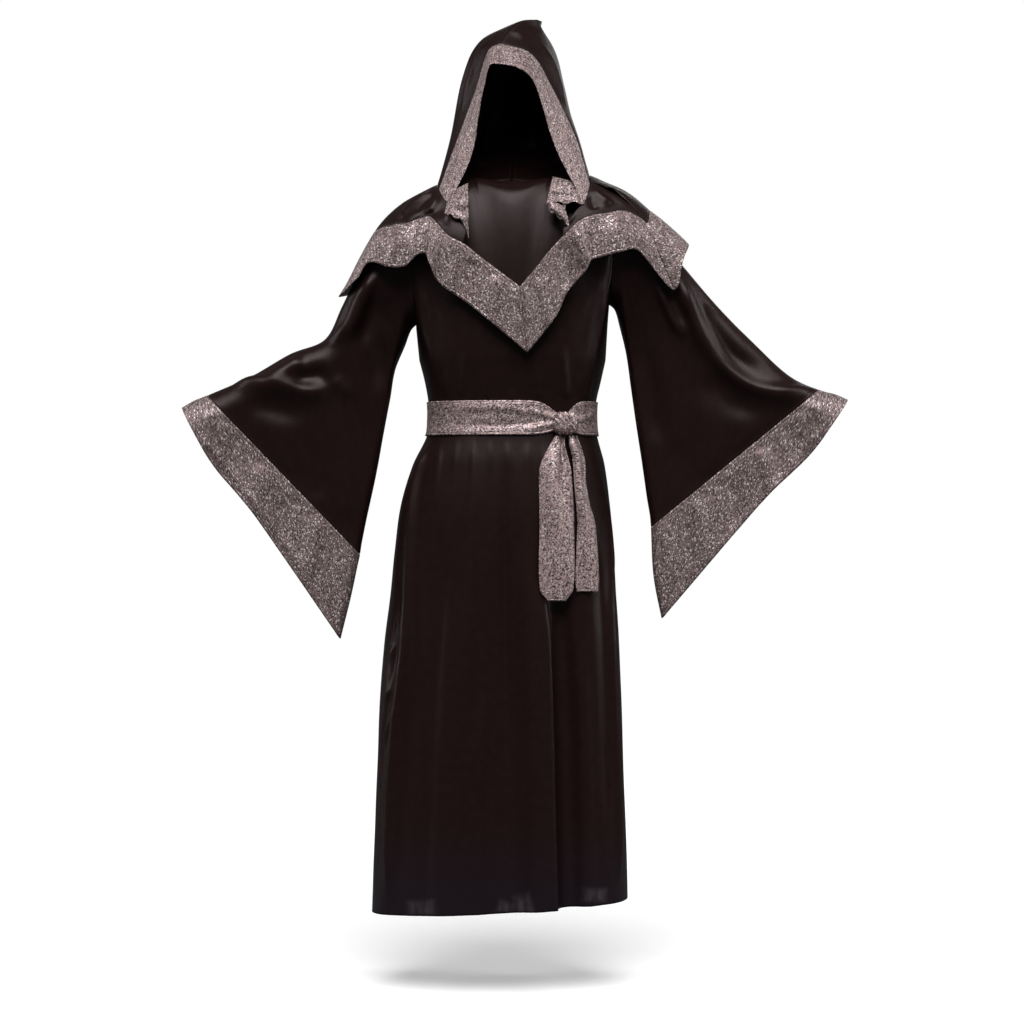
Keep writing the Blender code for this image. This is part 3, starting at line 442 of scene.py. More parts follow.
def robe_edge(across, front):
    """Upper edge of a robe panel from its centre to its sides: neck, shoulder, then armhole."""
    side = np.where(across < 0, -1.0, 1.0)
    column = abs(across) * HALF
    facing = -1 if front else 1
    turn = column / NECK_COLUMNS * math.pi / 2
    depth = NECK_FRONT if front else NECK_BACK
    height = NECK_FRONT_HEIGHT if front else NECK_BACK_HEIGHT
    neck = np.stack([side * NECK_HALF_WIDTH * np.sin(turn), facing * depth * np.cos(turn),
                     mix(height, NECK_SIDE_HEIGHT, np.sin(turn) ** 2)], axis=-1)
    end_x = np.where(side < 0, -SLEEVE_RIGHT[0][1], SLEEVE_LEFT[0][1])
    end_z = np.where(side < 0, SLEEVE_RIGHT[0][2], SLEEVE_LEFT[0][2])
    rise = np.where(side < 0, RISE_RIGHT, RISE_LEFT)
    share = (column - NECK_COLUMNS) / SHOULDER_COLUMNS
    ridge = mix(NECK_SIDE_HEIGHT, end_z, share) + rise * np.sin(math.pi * np.clip(share, 0, 1))
    shoulder = np.stack([side * mix(NECK_HALF_WIDTH, end_x, share), 0 * side, ridge], axis=-1)
    around = (column - NECK_COLUMNS - SHOULDER_COLUMNS) / ARM_COLUMNS / 2
    around = around if front else 1 - around
    still = np.zeros(np.shape(around))
    arm = np.where((side < 0)[:, None], sleeve(-1, still, around), sleeve(1, still, around))
    past_neck = (column > NECK_COLUMNS)[:, None]
    past_shoulder = (column > NECK_COLUMNS + SHOULDER_COLUMNS)[:, None]
    return np.where(past_shoulder, arm, np.where(past_neck, shoulder, neck))


def body_angle(across, front):
    """Angle from the centre front to the left of a column, -1 to 1 across a robe panel."""
    share = abs(across)
    turn = smooth_row(COLUMN_TURNS, np.minimum(share, 2 - share))[0]
    turn = np.where(share > 1, math.pi - turn, turn)
    turn = np.copysign(turn, across)
    return turn if front else math.pi - turn


def robe_upper(across, rise, front):
    """Robe above the chest line: rise 0 to 1 up to the panel's upper edge."""
    share = abs(across)
    low = robe_section(np.full(np.shape(across), CHEST_LINE), body_angle(across, front))
    high = robe_edge(across, front)
    arm = np.minimum(share, 2 - share) * HALF - NECK_COLUMNS - SHOULDER_COLUMNS
    flat = mix(*CHEST_ROUND, ease((share * HALF - 1) / NECK_COLUMNS))
    flat = mix(flat, 1.0, ease(arm / ARM_EASE))
    rise = np.minimum(rise, 1.0)
    up = 1 - (1 - rise) ** mix(1.0, NECK_SLOPE, ease(share * HALF / NECK_COLUMNS))
    over = 1 - (1 - np.maximum(up, 0) ** flat) ** (1 / flat)
    out = mix(up, over, CHEST_OUT)
    return mix(low, high, np.stack([out, over, up], axis=-1))


def robe_panel(front):
    """One panel as a surface over u and v, u running round the body to the wearer's left."""
    turn = 1 if front else -1

    def surface(u, v):
        across = turn * (2 * u - 1)
        level = v * ROBE_ROWS
        angle = body_angle(across, front)
        hem = mix(HEM_RIGHT, HEM_LEFT, (np.sin(angle) + 1) / 2)
        above = np.interp(level, range(SKIRT_ROWS, CHEST + 1), WAIST)
        z = np.where(level < SKIRT_ROWS, mix(hem, SASH_LOW, level / SKIRT_ROWS), above)
        upper = robe_upper(across, (level - CHEST) / UPPER_ROWS, front)
        return np.where((level >= CHEST)[:, None], upper, robe_section(z, angle))

    return surface


def even_steps(line, count, first=0.0, last=0.0):
    """Parameters that cut a line into equal lengths, with one more step next to a sewn end."""
    fine = np.linspace(0, 1, 600)
    places = line(fine)
    length = np.append(0, np.cumsum(np.linalg.norm(np.diff(places, axis=0), axis=1)))
    wanted = np.linspace(0, length[-1], count + 1)
    if first:
        wanted = np.insert(wanted, 1, first)
    if last:
        wanted = np.insert(wanted, -1, length[-1] - last)
    return np.interp(wanted, length, fine)


def steps_across(surface, v, count, first=0.0, last=0.0):
    """Even steps of u on the line of a surface at v."""
    return even_steps(lambda u: surface(u, np.full(np.shape(u), v)), count, first, last)


def steps_along(surface, u, count, first=0.0, last=0.0):
    """Even steps of v on the line of a surface at u."""
    return even_steps(lambda v: surface(np.full(np.shape(v), u), v), count, first, last)


def crease_lift(points, normals, creases):
    """How far the listed creases lift the cloth at each point: soft ridges and troughs."""
    lift = np.zeros(len(points))
    for facing, height, width, steep, fade_in, fade_out, *places in creases:
        height, width = height / PER_METRE, width / PER_METRE
        towards = np.flatnonzero(normals[:, 1] * facing > TOWARDS)
        if len(towards) == 0:
            continue
        pins = []
        for x, z in places:
            away = np.hypot(points[towards, 0] - x / PER_METRE, points[towards, 2] - z / PER_METRE)
            pins.append(towards[np.argmin(away)])
        steps = np.linspace(0, len(pins) - 1, PATH_STEPS * (len(pins) - 1) + 1)
        path = smooth_between(range(len(pins)), points[pins], steps)
        up = unit(smooth_between(range(len(pins)), normals[pins], steps))
        reach = REACH * width
        inside = (points > path.min(axis=0) - reach) & (points < path.max(axis=0) + reach)
        near = np.flatnonzero(inside.all(axis=1))
        if len(near) == 0:
            continue
        run = np.diff(path, axis=0)
        apart = points[near, None] - path[None, :-1]
        along = np.clip((apart * run).sum(axis=2) / np.maximum((run**2).sum(axis=1), 1e-12), 0, 1)
        gap = apart - along[:, :, None] * run
        distance = np.linalg.norm(gap, axis=2)
        piece = distance.argmin(axis=1)
        row = np.arange(len(near))
        distance = distance[row, piece]
        share = (piece + along[row, piece]) / len(run)
        left = (np.cross(run, up[:-1])[piece] * gap[row, piece]).sum(axis=1)
        flank = width * (1 - STEEP_SHARE * np.maximum(0, steep * np.sign(left)))
        rise = height * np.exp(-((distance / flank) ** 2))
        rise *= ease(share / fade_in) if fade_in else 1
        rise *= ease((1 - share) / fade_out) if fade_out else 1
        same_face = (normals[near] * up[piece]).sum(axis=1) > SAME_FACE
        lift[near] += rise * same_face
    return lift


def rumple(points, size, height):
    """Small uneven swells of hanging cloth, longer downwards than across."""
    return np.array([noise.noise(Vector((x / size, y / size, z / size / LONGER_DOWN)))
                     for x, y, z in points]) * height


def lay_cloth(name, surface, u_steps, v_steps, finish, thick, creases=(), swell=(0.05, 0.0012),
              sewn="", hemmed="", tube=False, turned=False):
    """Shell of cloth on a surface, lifted by creases and swells, pulled in along its sewn edges.

    sewn and hemmed name edges, u0 u1 v0 v1. The UV map and the attribute from_edge, distance from
    the nearest named edge and length along it, are in metres of cloth.
    """
    columns = len(u_steps) - 1
    rows = len(v_steps) - 1
    sheet = bmesh.new()
    bmesh.ops.create_grid(sheet, x_segments=columns, y_segments=rows, size=0.5)
    flat = np.array([vertex.co[:2] for vertex in sheet.verts]) + 0.5
    column = np.rint(flat[:, 0] * columns).astype(int)
    row = np.rint(flat[:, 1] * rows).astype(int)
    u = np.asarray(u_steps)[column]
    v = np.asarray(v_steps)[row]
    points = surface(u, v)
    normals = normal_of(surface, u, v) * (-1 if turned else 1)
    grid = np.zeros((rows + 1, columns + 1, 3))
    grid[row, column] = points
    ends = np.zeros((rows + 1, 1))
    along_u = np.cumsum(np.hstack([ends, np.linalg.norm(np.diff(grid, axis=1), axis=2)]), axis=1)
    ends = np.zeros((1, columns + 1))
    along_v = np.cumsum(np.vstack([ends, np.linalg.norm(np.diff(grid, axis=0), axis=2)]), axis=0)
    cloth_u = (along_u - along_u[:, columns // 2][:, None])[row, column]
    cloth_v = along_v[row, column]
    from_edge = {
        "u0": (along_u[row, column], cloth_v),
        "u1": ((along_u[:, -1:] - along_u)[row, column], cloth_v),
        "v0": (cloth_v, cloth_u),
        "v1": ((along_v[-1:] - along_v)[row, column], cloth_u),
    }
    distance = np.full(len(points), 1.0)
    length = np.zeros(len(points))
    hold = np.full(len(points), 1.0)
    for edge in (sewn + " " + hemmed).split():
        away, run = from_edge[edge]
        closer = away < distance
        distance = np.where(closer, away, distance)
        length = np.where(closer, run, length)
        if edge in sewn:
            hold = np.minimum(hold, away)
    lift = crease_lift(points, normals, creases) + rumple(points, *swell)
    lift = lift * ease(hold / HELD) - SEAM_SINK * (hold < TOUCHING)
    points = points + normals * lift[:, None]
    for vertex, point in zip(sheet.verts, points):
        vertex.co = point
    cloth = sheet.loops.layers.uv.new("cloth")
    edges = sheet.verts.layers.float_vector.new("from_edge")
    for vertex, away, run in zip(sheet.verts, distance, length):
        vertex[edges] = (away, run, 0)
    for face in sheet.faces:
        for loop in face.loops:
            loop[cloth].uv = (cloth_u[loop.vert.index], cloth_v[loop.vert.index])
    if tube:
        bmesh.ops.remove_doubles(sheet, verts=sheet.verts, dist=MERGED)
    if turned:
        bmesh.ops.reverse_faces(sheet, faces=sheet.faces)
    mesh = bpy.data.meshes.new(name)
    sheet.to_mesh(mesh)
    sheet.free()
    mesh.shade_smooth()
    mesh.materials.append(finish)
    piece = add_object(name, mesh)
    wall = piece.modifiers.new("thickness", "SOLIDIFY")
    wall.thickness = thick
    wall.offset = 0
    return piece


# Colours and yarns of the satin, and the painted light that makes the robe's hem paler, as if the
# floor showed through it
SATIN_SHINE = {
    "Roughness": 0.33,
    "Specular IOR Level": 0.24,
    "Specular Tint": (1.0, 0.85, 0.87, 1.0),
}
SATIN_YARN = 0.0006
SATIN_STITCH = 0.0032
SATIN_TONES = ((0.30, (0.0118, 0.0048, 0.0044, 1.0)), (0.72, (0.0160, 0.0068, 0.0063, 1.0)))
SATIN_THREAD = (0.030, 0.024, 0.026, 1.0)
SATIN_RELIEF = (3.0, 0.25, 0.0002)   # depth of the stitches beside the weave's, strength, distance
SLUBS = 60.0             # uneven places of the yarn to the metre
WAVE = 0.314             # length of one wave of the wave texture at scale 1
STITCH_HALF = 0.0004     # half width of a stitch
STITCH_SHOWS = 0.72      # share of its pitch that shows
STITCH_STEEP = 700.0     # how steep the groove is that it sinks into, and how soft its upper edge
STITCH_SOFT = 0.4
# Painted light: below this height the robe's satin is made paler towards the hem
PAINTED_LIGHT_FROM = -1.18
PAINTED_LIGHT_SATIN = (0.013, 0.0085, 0.0125, 1.0)
LIT_SATIN = (0.056, 0.044, 0.050, 1.0)
LIT_STREAKS = (95.0, 20.0, 22.0)     # streaks to the metre across, in depth and up
LIT_UNEVEN = {"From Min": 0.30, "From Max": 0.62, "To Min": 0.25}
LIT_EDGE = (1.05, 0.15)              # where a light place starts and where it is full
HEM_LIGHTS = (
    # painted light where the floor would show through one layer of cloth: middle across and up, half
    # sizes, turn
    (-0.170, -1.366, 0.034, 0.018, -0.12),
    (-0.012, -1.364, 0.020, 0.016, 0.35),
    (0.022, -1.358, 0.022, 0.026, -0.30),
    (0.157, -1.344, 0.031, 0.018, 0.08),
)


def node_group(name, inputs, outputs):
    """An empty shader group with number inputs and their values, and named outputs."""
    group = bpy.data.node_groups.new(name, "ShaderNodeTree")
    for socket, kind, value in inputs:
        made = group.interface.new_socket(socket, in_out="INPUT", socket_type=kind)
        if value is not None:
            made.default_value = value
    for socket, kind in outputs:
        group.interface.new_socket(socket, in_out="OUTPUT", socket_type=kind)
    return group, group.nodes.new("NodeGroupInput"), group.nodes.new("NodeGroupOutput")


def sums(tree, operation, *values):
    """Result of a Math node whose inputs are sockets or numbers."""
    return add_node(tree, "Math", dict(enumerate(values)), operation=operation).outputs[0]


def blend(tree, factor, base, over):
    """Colour that turns from one to another by a factor."""
    return add_node(tree, "Mix", {"Factor": factor, "A": base, "B": over},
                    data_type="RGBA").outputs["Result"]


def smooth_range(tree, value, start, end):
    """0 to 1, smoothly, while a value goes from start to end."""
    return add_node(tree, "MapRange", {"Value": value, "From Min": start, "From Max": end},
                    interpolation_type="SMOOTHSTEP").outputs["Result"]


# Satin weave: long floats of yarn across, bound by a fine diagonal; it feeds a low bump
weave_group, weave_in, weave_out = node_group(
    "satin_weave",
    (("Cloth", "NodeSocketVector", None), ("Yarn", "NodeSocketFloat", SATIN_YARN)),
    (("Height", "NodeSocketFloat"), ("Slub", "NodeSocketFloat")))
weave_place = weave_in.outputs["Cloth"]
yarns = sums(weave_group, "DIVIDE", WAVE, weave_in.outputs["Yarn"])
warp = add_node(weave_group, "TexWave", {"Vector": weave_place, "Scale": yarns},
                bands_direction="X")
weft = add_node(weave_group, "TexWave", {"Vector": weave_place, "Scale": yarns},
                bands_direction="DIAGONAL")
slub = add_node(weave_group, "TexNoise", {"Vector": weave_place, "Scale": SLUBS, "Detail": 3.0})
both = sums(weave_group, "MULTIPLY_ADD", weft.outputs["Fac"], 0.5, warp.outputs["Fac"])
set_inputs(weave_group, weave_out, {"Height": both, "Slub": slub.outputs["Fac"]})

# Stitch row: a sunk line of thread beside an edge, in dashes
stitch_group, stitch_in, stitch_out = node_group(
    "stitch_row",
    (("From Edge", "NodeSocketVector", None), ("Row", "NodeSocketFloat", 0.010),
     ("Pitch", "NodeSocketFloat", 0.003)),
    (("Thread", "NodeSocketFloat"), ("Sunk", "NodeSocketFloat")))
split = add_node(stitch_group, "SeparateXYZ", {0: stitch_in.outputs["From Edge"]})
beside = sums(stitch_group, "SUBTRACT", split.outputs["X"], stitch_in.outputs["Row"])
beside = sums(stitch_group, "ABSOLUTE", beside)
in_row = sums(stitch_group, "LESS_THAN", beside, STITCH_HALF)
turns = sums(stitch_group, "DIVIDE", split.outputs["Y"], stitch_in.outputs["Pitch"])
dash = sums(stitch_group, "LESS_THAN", sums(stitch_group, "FRACT", turns), STITCH_SHOWS)
thread = sums(stitch_group, "MULTIPLY", in_row, dash)
groove = sums(stitch_group, "MULTIPLY", beside, STITCH_STEEP)
sunk = sums(stitch_group, "SMOOTH_MIN", groove, 1.0, STITCH_SOFT)
set_inputs(stitch_group, stitch_out, {"Thread": thread, "Sunk": sunk})


def cloth_paint(name, from_edge, pitch):
    """A new cloth material, with its place on the cloth and its stitched row beside the edges."""
    paint = bpy.data.materials.new(name)
    paint.use_nodes = True
    tree = paint.node_tree
    place = add_node(tree, "UVMap", uv_map="cloth").outputs["UV"]
    edge = add_node(tree, "Attribute", attribute_name="from_edge").outputs["Vector"]
    row = add_node(tree, "Group", {"From Edge": edge, "Row": from_edge, "Pitch": pitch},
                   node_tree=stitch_group)
    return paint, place, row


def relief(tree, row, height, look):
    """Normal of the cloth's own relief with the stitched row sunk into it."""
    share, strength, distance = look
    height = sums(tree, "MULTIPLY_ADD", row.outputs["Sunk"], share, height)
    return add_node(tree, "Bump", {"Strength": strength, "Distance": distance,
                                   "Height": height}).outputs["Normal"]


def paint_hem_light(tree, colour):
    """Painted light on the robe's hem: the colour made paler towards the hem, most in streaky patches
    where the floor would show through.
    """
    place = add_node(tree, "TexCoord").outputs["Object"]
    height = add_node(tree, "SeparateXYZ", {0: place}).outputs["Z"]
    colour = blend(tree, smooth_range(tree, height, PAINTED_LIGHT_FROM, HEM_RIGHT), colour, PAINTED_LIGHT_SATIN)
    streak_place = add_node(tree, "Mapping", {"Vector": place, "Scale": LIT_STREAKS}).outputs[0]
    streak = add_node(tree, "TexNoise", {"Vector": streak_place, "Scale": 1.0, "Detail": 2.0})
    streaks = add_node(tree, "MapRange",
                       {"Value": streak.outputs[0], **LIT_UNEVEN}).outputs["Result"]
    for across, up, half_width, half_height, slant in HEM_LIGHTS:
        patch = add_node(tree, "Mapping", {
            "Vector": place,
            "Location": (across, 0, up),
            "Scale": (half_width, 10.0, half_height),
            "Rotation": (0, slant, 0),
        }, vector_type="TEXTURE")
        apart = add_node(tree, "SeparateXYZ", {0: patch.outputs[0]})
        from_middle = sums(tree, "MAXIMUM", sums(tree, "ABSOLUTE", apart.outputs["X"]),
                           sums(tree, "ABSOLUTE", apart.outputs["Z"]))
        lit = sums(tree, "MULTIPLY", smooth_range(tree, from_middle, *LIT_EDGE), streaks)
        colour = blend(tree, lit, colour, LIT_SATIN)
    return colour


def satin(name, hem_row, hem_light=False):
    """Black satin with its weave, a stitched row beside its edges and, if asked, a hem made paler by
    painted light.
    """
    paint, place, row = cloth_paint(name, hem_row, SATIN_STITCH)
    tree = paint.node_tree
    weave = add_node(tree, "Group", {"Cloth": place, "Yarn": SATIN_YARN}, node_tree=weave_group)
    tone = add_node(tree, "ValToRGB", {"Fac": weave.outputs["Slub"]})
    for element, (position, colour) in zip(tone.color_ramp.elements, SATIN_TONES):
        element.position = position
        element.color = colour
    colour = blend(tree, row.outputs["Thread"], tone.outputs["Color"], SATIN_THREAD)
    # painted light on the robe's hem
    if hem_light:
        colour = paint_hem_light(tree, colour)
    normal = relief(tree, row, weave.outputs["Height"], SATIN_RELIEF)
    set_inputs(tree, tree.nodes["Principled BSDF"],
               {**SATIN_SHINE, "Base Color": colour, "Normal": normal})
    return paint


robe_satin = satin("robe_satin", hem_row=0.012, hem_light=True)
for panel, front, creases, area in (
    ("robe_front", True, FRONT_CREASES, 0.80),
    ("robe_back", False, BACK_CREASES, 0.81),
):
    form = robe_panel(front)
    cloth = lay_cloth(f"{panel}_cloth", form,
                      steps_across(form, 0.35, ROBE_GRID[0], SEWN_STEP, SEWN_STEP),
                      steps_along(form, 0.98, ROBE_GRID[1], 0, SEWN_STEP), robe_satin,
                      SATIN_THICK, creases, sewn="u0 u1 v1", hemmed="v0")
    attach(cloth, "root")
    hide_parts(panel)

# Sleeves: each bell sleeve is one folded piece of the same satin, sewn into the armhole and down
# its lower edge. It hangs from the raised arm, so its upper side is drawn into drag lines and the
# rest falls in wide soft drapes.
SLEEVE_GRID = (144, 86)
SLEEVE_RIGHT_CREASES = (
    # facing, height, half width, steep side, fade in, fade out, places across and up, in mm
    (-1, 12, 15, 0.5, 0.2, 0.3, (-258, -160), (-288, -215), (-316, -268), (-350, -300)),
    (-1, -10, 18, 0, 0.3, 0.4, (-246, -200), (-270, -262), (-300, -315)),
    (-1, 12, 20, -0.4, 0.2, 0.3, (-545, -372), (-462, -376), (-404, -389), (-335, -398)),
    (-1, 9, 14, 0, 0.3, 0.3, (-470, -372), (-431, -349), (-395, -332)),
    (-1, -9, 16, 0, 0.3, 0.4, (-420, -372), (-380, -362), (-345, -348)),
    (-1, -6, 22, 0, 0.3, 0.4, (-520, -410), (-450, -425), (-370, -440)),
    (-1, 4, 14, 0, 0.3, 0.5, (-347, -362), (-322, -385), (-292, -408)),
    (-1, -6, 24, 0, 0.4, 0.4, (-282, -274), (-263, -330), (-252, -400)),
    (-1, 2.6, 24, 0, 0.4, 0.1, (-350, -400), (-330, -500), (-318, -640)),
    (-1, -2.2, 22, 0, 0.4, 0.1, (-410, -420), (-390, -500), (-372, -600)),
    (-1, 2.2, 22, 0, 0.4, 0.1, (-470, -420), (-452, -480), (-436, -550)),
    (-1, 4, 14, 0.3, 0.3, 0.4, (-240, -250), (-238, -330), (-244, -420)),
    (1, 8, 16, 0.3, 0.2, 0.4, (-250, -150), (-284, -220), (-318, -280), (-360, -310)),
    (1, -6, 18, 0, 0.3, 0.4, (-244, -210), (-268, -270), (-306, -325)),
    (1, 7.5, 20, 0.4, 0.2, 0.4, (-530, -368), (-450, -372), (-370, -392), (-310, -430)),
    (1, -6, 22, 0, 0.3, 0.4, (-510, -412), (-440, -424), (-350, -452)),
    (1, 5, 22, 0, 0.4, 0.1, (-380, -430), (-352, -530), (-332, -650)),
    (1, 4.5, 20, 0, 0.4, 0.1, (-460, -425), (-440, -490), (-424, -560)),
    (1, 4, 14, 0.3, 0.3, 0.4, (-236, -250), (-236, -340), (-246, -440)),
)
SLEEVE_LEFT_CREASES = (
    # facing, height, half width, steep side, fade in, fade out, places across and up, in mm
    (-1, 15, 19, -0.5, 0.15, 0.2, (306, -150), (340, -225), (366, -280), (400, -335), (455, -380),
     (520, -394), (590, -396)),
    (-1, -11, 18, 0, 0.3, 0.4, (345, -190), (385, -262), (430, -325), (500, -362)),
    (-1, 8.5, 12, 0.3, 0.3, 0.4, (268, -170), (296, -228), (318, -268), (340, -292)),
    (-1, -5, 14, 0, 0.3, 0.4, (292, -170), (322, -232), (345, -280)),
    (-1, -6, 24, 0, 0.3, 0.4, (370, -350), (420, -410), (500, -438)),
    (-1, 2.8, 22, 0, 0.4, 0.2, (276, -270), (304, -390), (322, -520)),
    (-1, -4, 18, 0, 0.4, 0.2, (250, -260), (262, -370), (280, -500)),
    (-1, 2.4, 24, 0, 0.4, 0.1, (350, -380), (372, -460), (380, -560)),
    (-1, 2.2, 22, 0, 0.4, 0.1, (430, -410), (446, -460), (450, -520)),
    (1, 10, 18, 0.4, 0.15, 0.2, (300, -150), (334, -232), (364, -292), (408, -345), (470, -380),
     (560, -392)),
    (1, -7, 18, 0, 0.3, 0.4, (338, -190), (380, -262), (430, -325)),
    (1, 5.5, 14, 0, 0.3, 0.4, (262, -170), (286, -240), (300, -320)),
    (1, -6, 24, 0, 0.3, 0.4, (360, -350), (420, -412), (500, -440)),
    (1, 5, 22, 0, 0.4, 0.1, (330, -370), (346, -470), (352, -580)),
    (1, 4, 20, 0, 0.4, 0.1, (420, -400), (440, -460), (446, -530)),
)

sleeve_satin = satin("sleeve_satin", hem_row=0.005)
for word, side, creases, area in (
    ("right", -1, SLEEVE_RIGHT_CREASES, 0.27),
    ("left", 1, SLEEVE_LEFT_CREASES, 0.28),
):
    tube = lambda u, v, side=side: sleeve(side, CUFF_SEAM * v, u)
    cloth = lay_cloth(f"sleeve_{word}_cloth", tube, steps_across(tube, 0.55, SLEEVE_GRID[0]),
                      steps_along(tube, 0.25, SLEEVE_GRID[1], SEWN_STEP, SEWN_STEP), sleeve_satin,
                      SATIN_THICK, creases, swell=(0.06, 0.0016), sewn="v0 v1", tube=True,
                      turned=side < 0)
    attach(cloth, "root")
    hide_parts(f"sleeve_{word}")

# Cuff bands: a wide doubled band of silver glitter knit round each sleeve end, sewn on with its
# seam turned in and its lower corner pointed. Metal yarn is knitted into a dark ground, so the
# cloth is a dense speckle of bright, grey and brown.
CUFF_GRID = (200, 24)
KNIT_THICK = 0.0016
KNIT_LOOP = 0.0021
KNIT_STITCH = 0.0036
KNIT_BENDS = 240.0       # wandering of the rows of loops, to the metre, and how far they wander
KNIT_WANDER = (0.0010, 0.0010, 0.0010)
KNIT_FLECKS = 1.3        # flecks to the loop
KNIT_OWN = 0.55          # weight of each loop's own tone beside the flecks
KNIT_SPREAD = (0.56, 0.92)
KNIT_FLASH = 0.90        # loops above this share flash
KNIT_METAL = 0.55
KNIT_ROUGH = (-0.14, 0.52)
KNIT_RELIEF = (2.0, 0.7, 0.0006)     # depth of the stitches beside the loops', strength, distance
KNIT_SHEEN = {
    "Sheen Weight": 0.10,
    "Sheen Roughness": 0.40,
    "Sheen Tint": (0.92, 0.82, 0.84, 1.0),
}
KNIT_GROUND = (0.030, 0.017, 0.016, 1.0)
KNIT_SILVER = (0.330, 0.240, 0.236, 1.0)
KNIT_GLINT = (0.780, 0.700, 0.680, 1.0)
CUFF_CREASES = {
    "right": (
        # facing, height, half width, steep side, fade in, fade out, places across and up, in mm
        (-1, 4, 16, 0, 0.2, 0, (-566, -420), (-580, -455), (-592, -490)),
        (-1, -3.5, 18, 0, 0.2, 0, (-520, -470), (-532, -510), (-545, -545)),
        (-1, 4.5, 18, 0, 0.2, 0, (-470, -530), (-484, -575), (-500, -620)),
        (-1, -3.5, 20, 0, 0.2, 0, (-420, -580), (-434, -630), (-450, -680)),
        (-1, 4, 18, 0, 0.2, 0, (-366, -620), (-380, -690), (-398, -740)),
        (-1, 2.8, 10, 0, 0.1, 0.1, (-596, -470), (-500, -595), (-390, -740)),
        (1, 4.5, 20, 0, 0.2, 0, (-500, -500), (-516, -545), (-530, -580)),
        (1, -4, 20, 0, 0.2, 0, (-440, -560), (-456, -610), (-470, -650)),
        (1, 4.5, 20, 0, 0.2, 0, (-380, -610), (-396, -670), (-412, -720)),
    ),
    "left": (
        (-1, 4, 16, 0, 0.2, 0, (570, -410), (586, -440), (604, -470)),
        (-1, -3.5, 18, 0, 0.2, 0, (520, -452), (540, -490), (556, -520)),
        (-1, 4.5, 18, 0, 0.2, 0, (466, -500), (484, -540), (500, -580)),
        (-1, -3.5, 20, 0, 0.2, 0, (410, -550), (426, -600), (440, -650)),
        (-1, 4, 18, 0, 0.2, 0, (350, -590), (362, -650), (374, -710)),
        (-1, 2.8, 10, 0, 0.1, 0.1, (604, -452), (500, -575), (380, -710)),
        (-1, -3, 5, 0, 0.1, 0.1, (281, -668), (288, -740), (291, -800)),
        (1, 4.5, 20, 0, 0.2, 0, (500, -480), (516, -520), (530, -550)),
        (1, -4, 20, 0, 0.2, 0, (430, -540), (446, -590), (460, -630)),
        (1, 4.5, 20, 0, 0.2, 0, (370, -590), (384, -650), (396, -700)),
    ),
}

# Glitter knit: rows of small loops of dark and silver yarn, some of whose faces flash
glitter_group, glitter_in, glitter_out = node_group(
    "glitter_knit",
    (("Cloth", "NodeSocketVector", None), ("Loop", "NodeSocketFloat", KNIT_LOOP)),
    (("Silver", "NodeSocketFloat"), ("Glint", "NodeSocketFloat"), ("Height", "NodeSocketFloat")))
knit_place = glitter_in.outputs["Cloth"]
per_metre = sums(glitter_group, "DIVIDE", 1.0, glitter_in.outputs["Loop"])
bend = add_node(glitter_group, "TexNoise", {"Vector": knit_place, "Scale": KNIT_BENDS})
wander = add_node(glitter_group, "VectorMath", {0: bend.outputs["Color"], 1: KNIT_WANDER,
                                                2: knit_place}, operation="MULTIPLY_ADD").outputs[0]
loops = add_node(glitter_group, "TexVoronoi", {"Vector": wander, "Scale": per_metre,
                                               "Randomness": 0.9})
flecks = add_node(glitter_group, "TexNoise", {
    "Vector": wander,
    "Scale": sums(glitter_group, "MULTIPLY", per_metre, KNIT_FLECKS),
    "Detail": 2.0,
    "Roughness": 0.7,
})
own = add_node(glitter_group, "SeparateColor", {0: loops.outputs["Color"]})
mixed = sums(glitter_group, "MULTIPLY_ADD", own.outputs["Red"], KNIT_OWN, flecks.outputs["Fac"])
set_inputs(glitter_group, glitter_out, {
    "Silver": smooth_range(glitter_group, mixed, *KNIT_SPREAD),
    "Glint": sums(glitter_group, "GREATER_THAN", own.outputs["Green"], KNIT_FLASH),
    "Height": sums(glitter_group, "SUBTRACT", 1.0, loops.outputs["Distance"]),
})


def glitter_knit(name, seam_row, painted_lightness):
    """Silver glitter knit with a stitched row beside its edges, its silver paler or darker by painted
    light and shade.
    """
    # Painted light and shade: every piece is the same knit, made paler or darker by how much light it
    # catches.
    silver = tuple(painted_lightness * part for part in KNIT_SILVER[:3]) + (1.0,)
    paint, place, row = cloth_paint(name, seam_row, KNIT_STITCH)
    tree = paint.node_tree
    knit = add_node(tree, "Group", {"Cloth": place, "Loop": KNIT_LOOP}, node_tree=glitter_group)
    colour = blend(tree, knit.outputs["Silver"], KNIT_GROUND, silver)
    colour = blend(tree, knit.outputs["Glint"], colour, KNIT_GLINT)
    colour = blend(tree, row.outputs["Thread"], colour, silver)
    set_inputs(tree, tree.nodes["Principled BSDF"], {
        **KNIT_SHEEN,
        "Base Color": colour,
        "Metallic": sums(tree, "MULTIPLY", knit.outputs["Silver"], KNIT_METAL),
        "Roughness": sums(tree, "MULTIPLY_ADD", knit.outputs["Glint"], *KNIT_ROUGH),
        "Normal": relief(tree, row, knit.outputs["Height"], KNIT_RELIEF),
    })
    return paint


band_knit = glitter_knit("band_knit", seam_row=0.006, painted_lightness=0.96)
for word, side, area in (("right", -1, 0.100), ("left", 1, 0.106)):
    tube = lambda u, v, side=side: sleeve(side, mix(CUFF_SEAM, 1.0, v), u)
    cloth = lay_cloth(f"cuff_band_{word}_cloth", tube, steps_across(tube, 0.5, CUFF_GRID[0]),
                      steps_along(tube, 0.25, CUFF_GRID[1], SEWN_STEP), band_knit, KNIT_THICK,
                      CUFF_CREASES[word], swell=(0.05, 0.0012), sewn="v0", hemmed="v1",
                      tube=True, turned=side < 0)
    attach(cloth, "root")
    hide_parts(f"cuff_band_{word}")

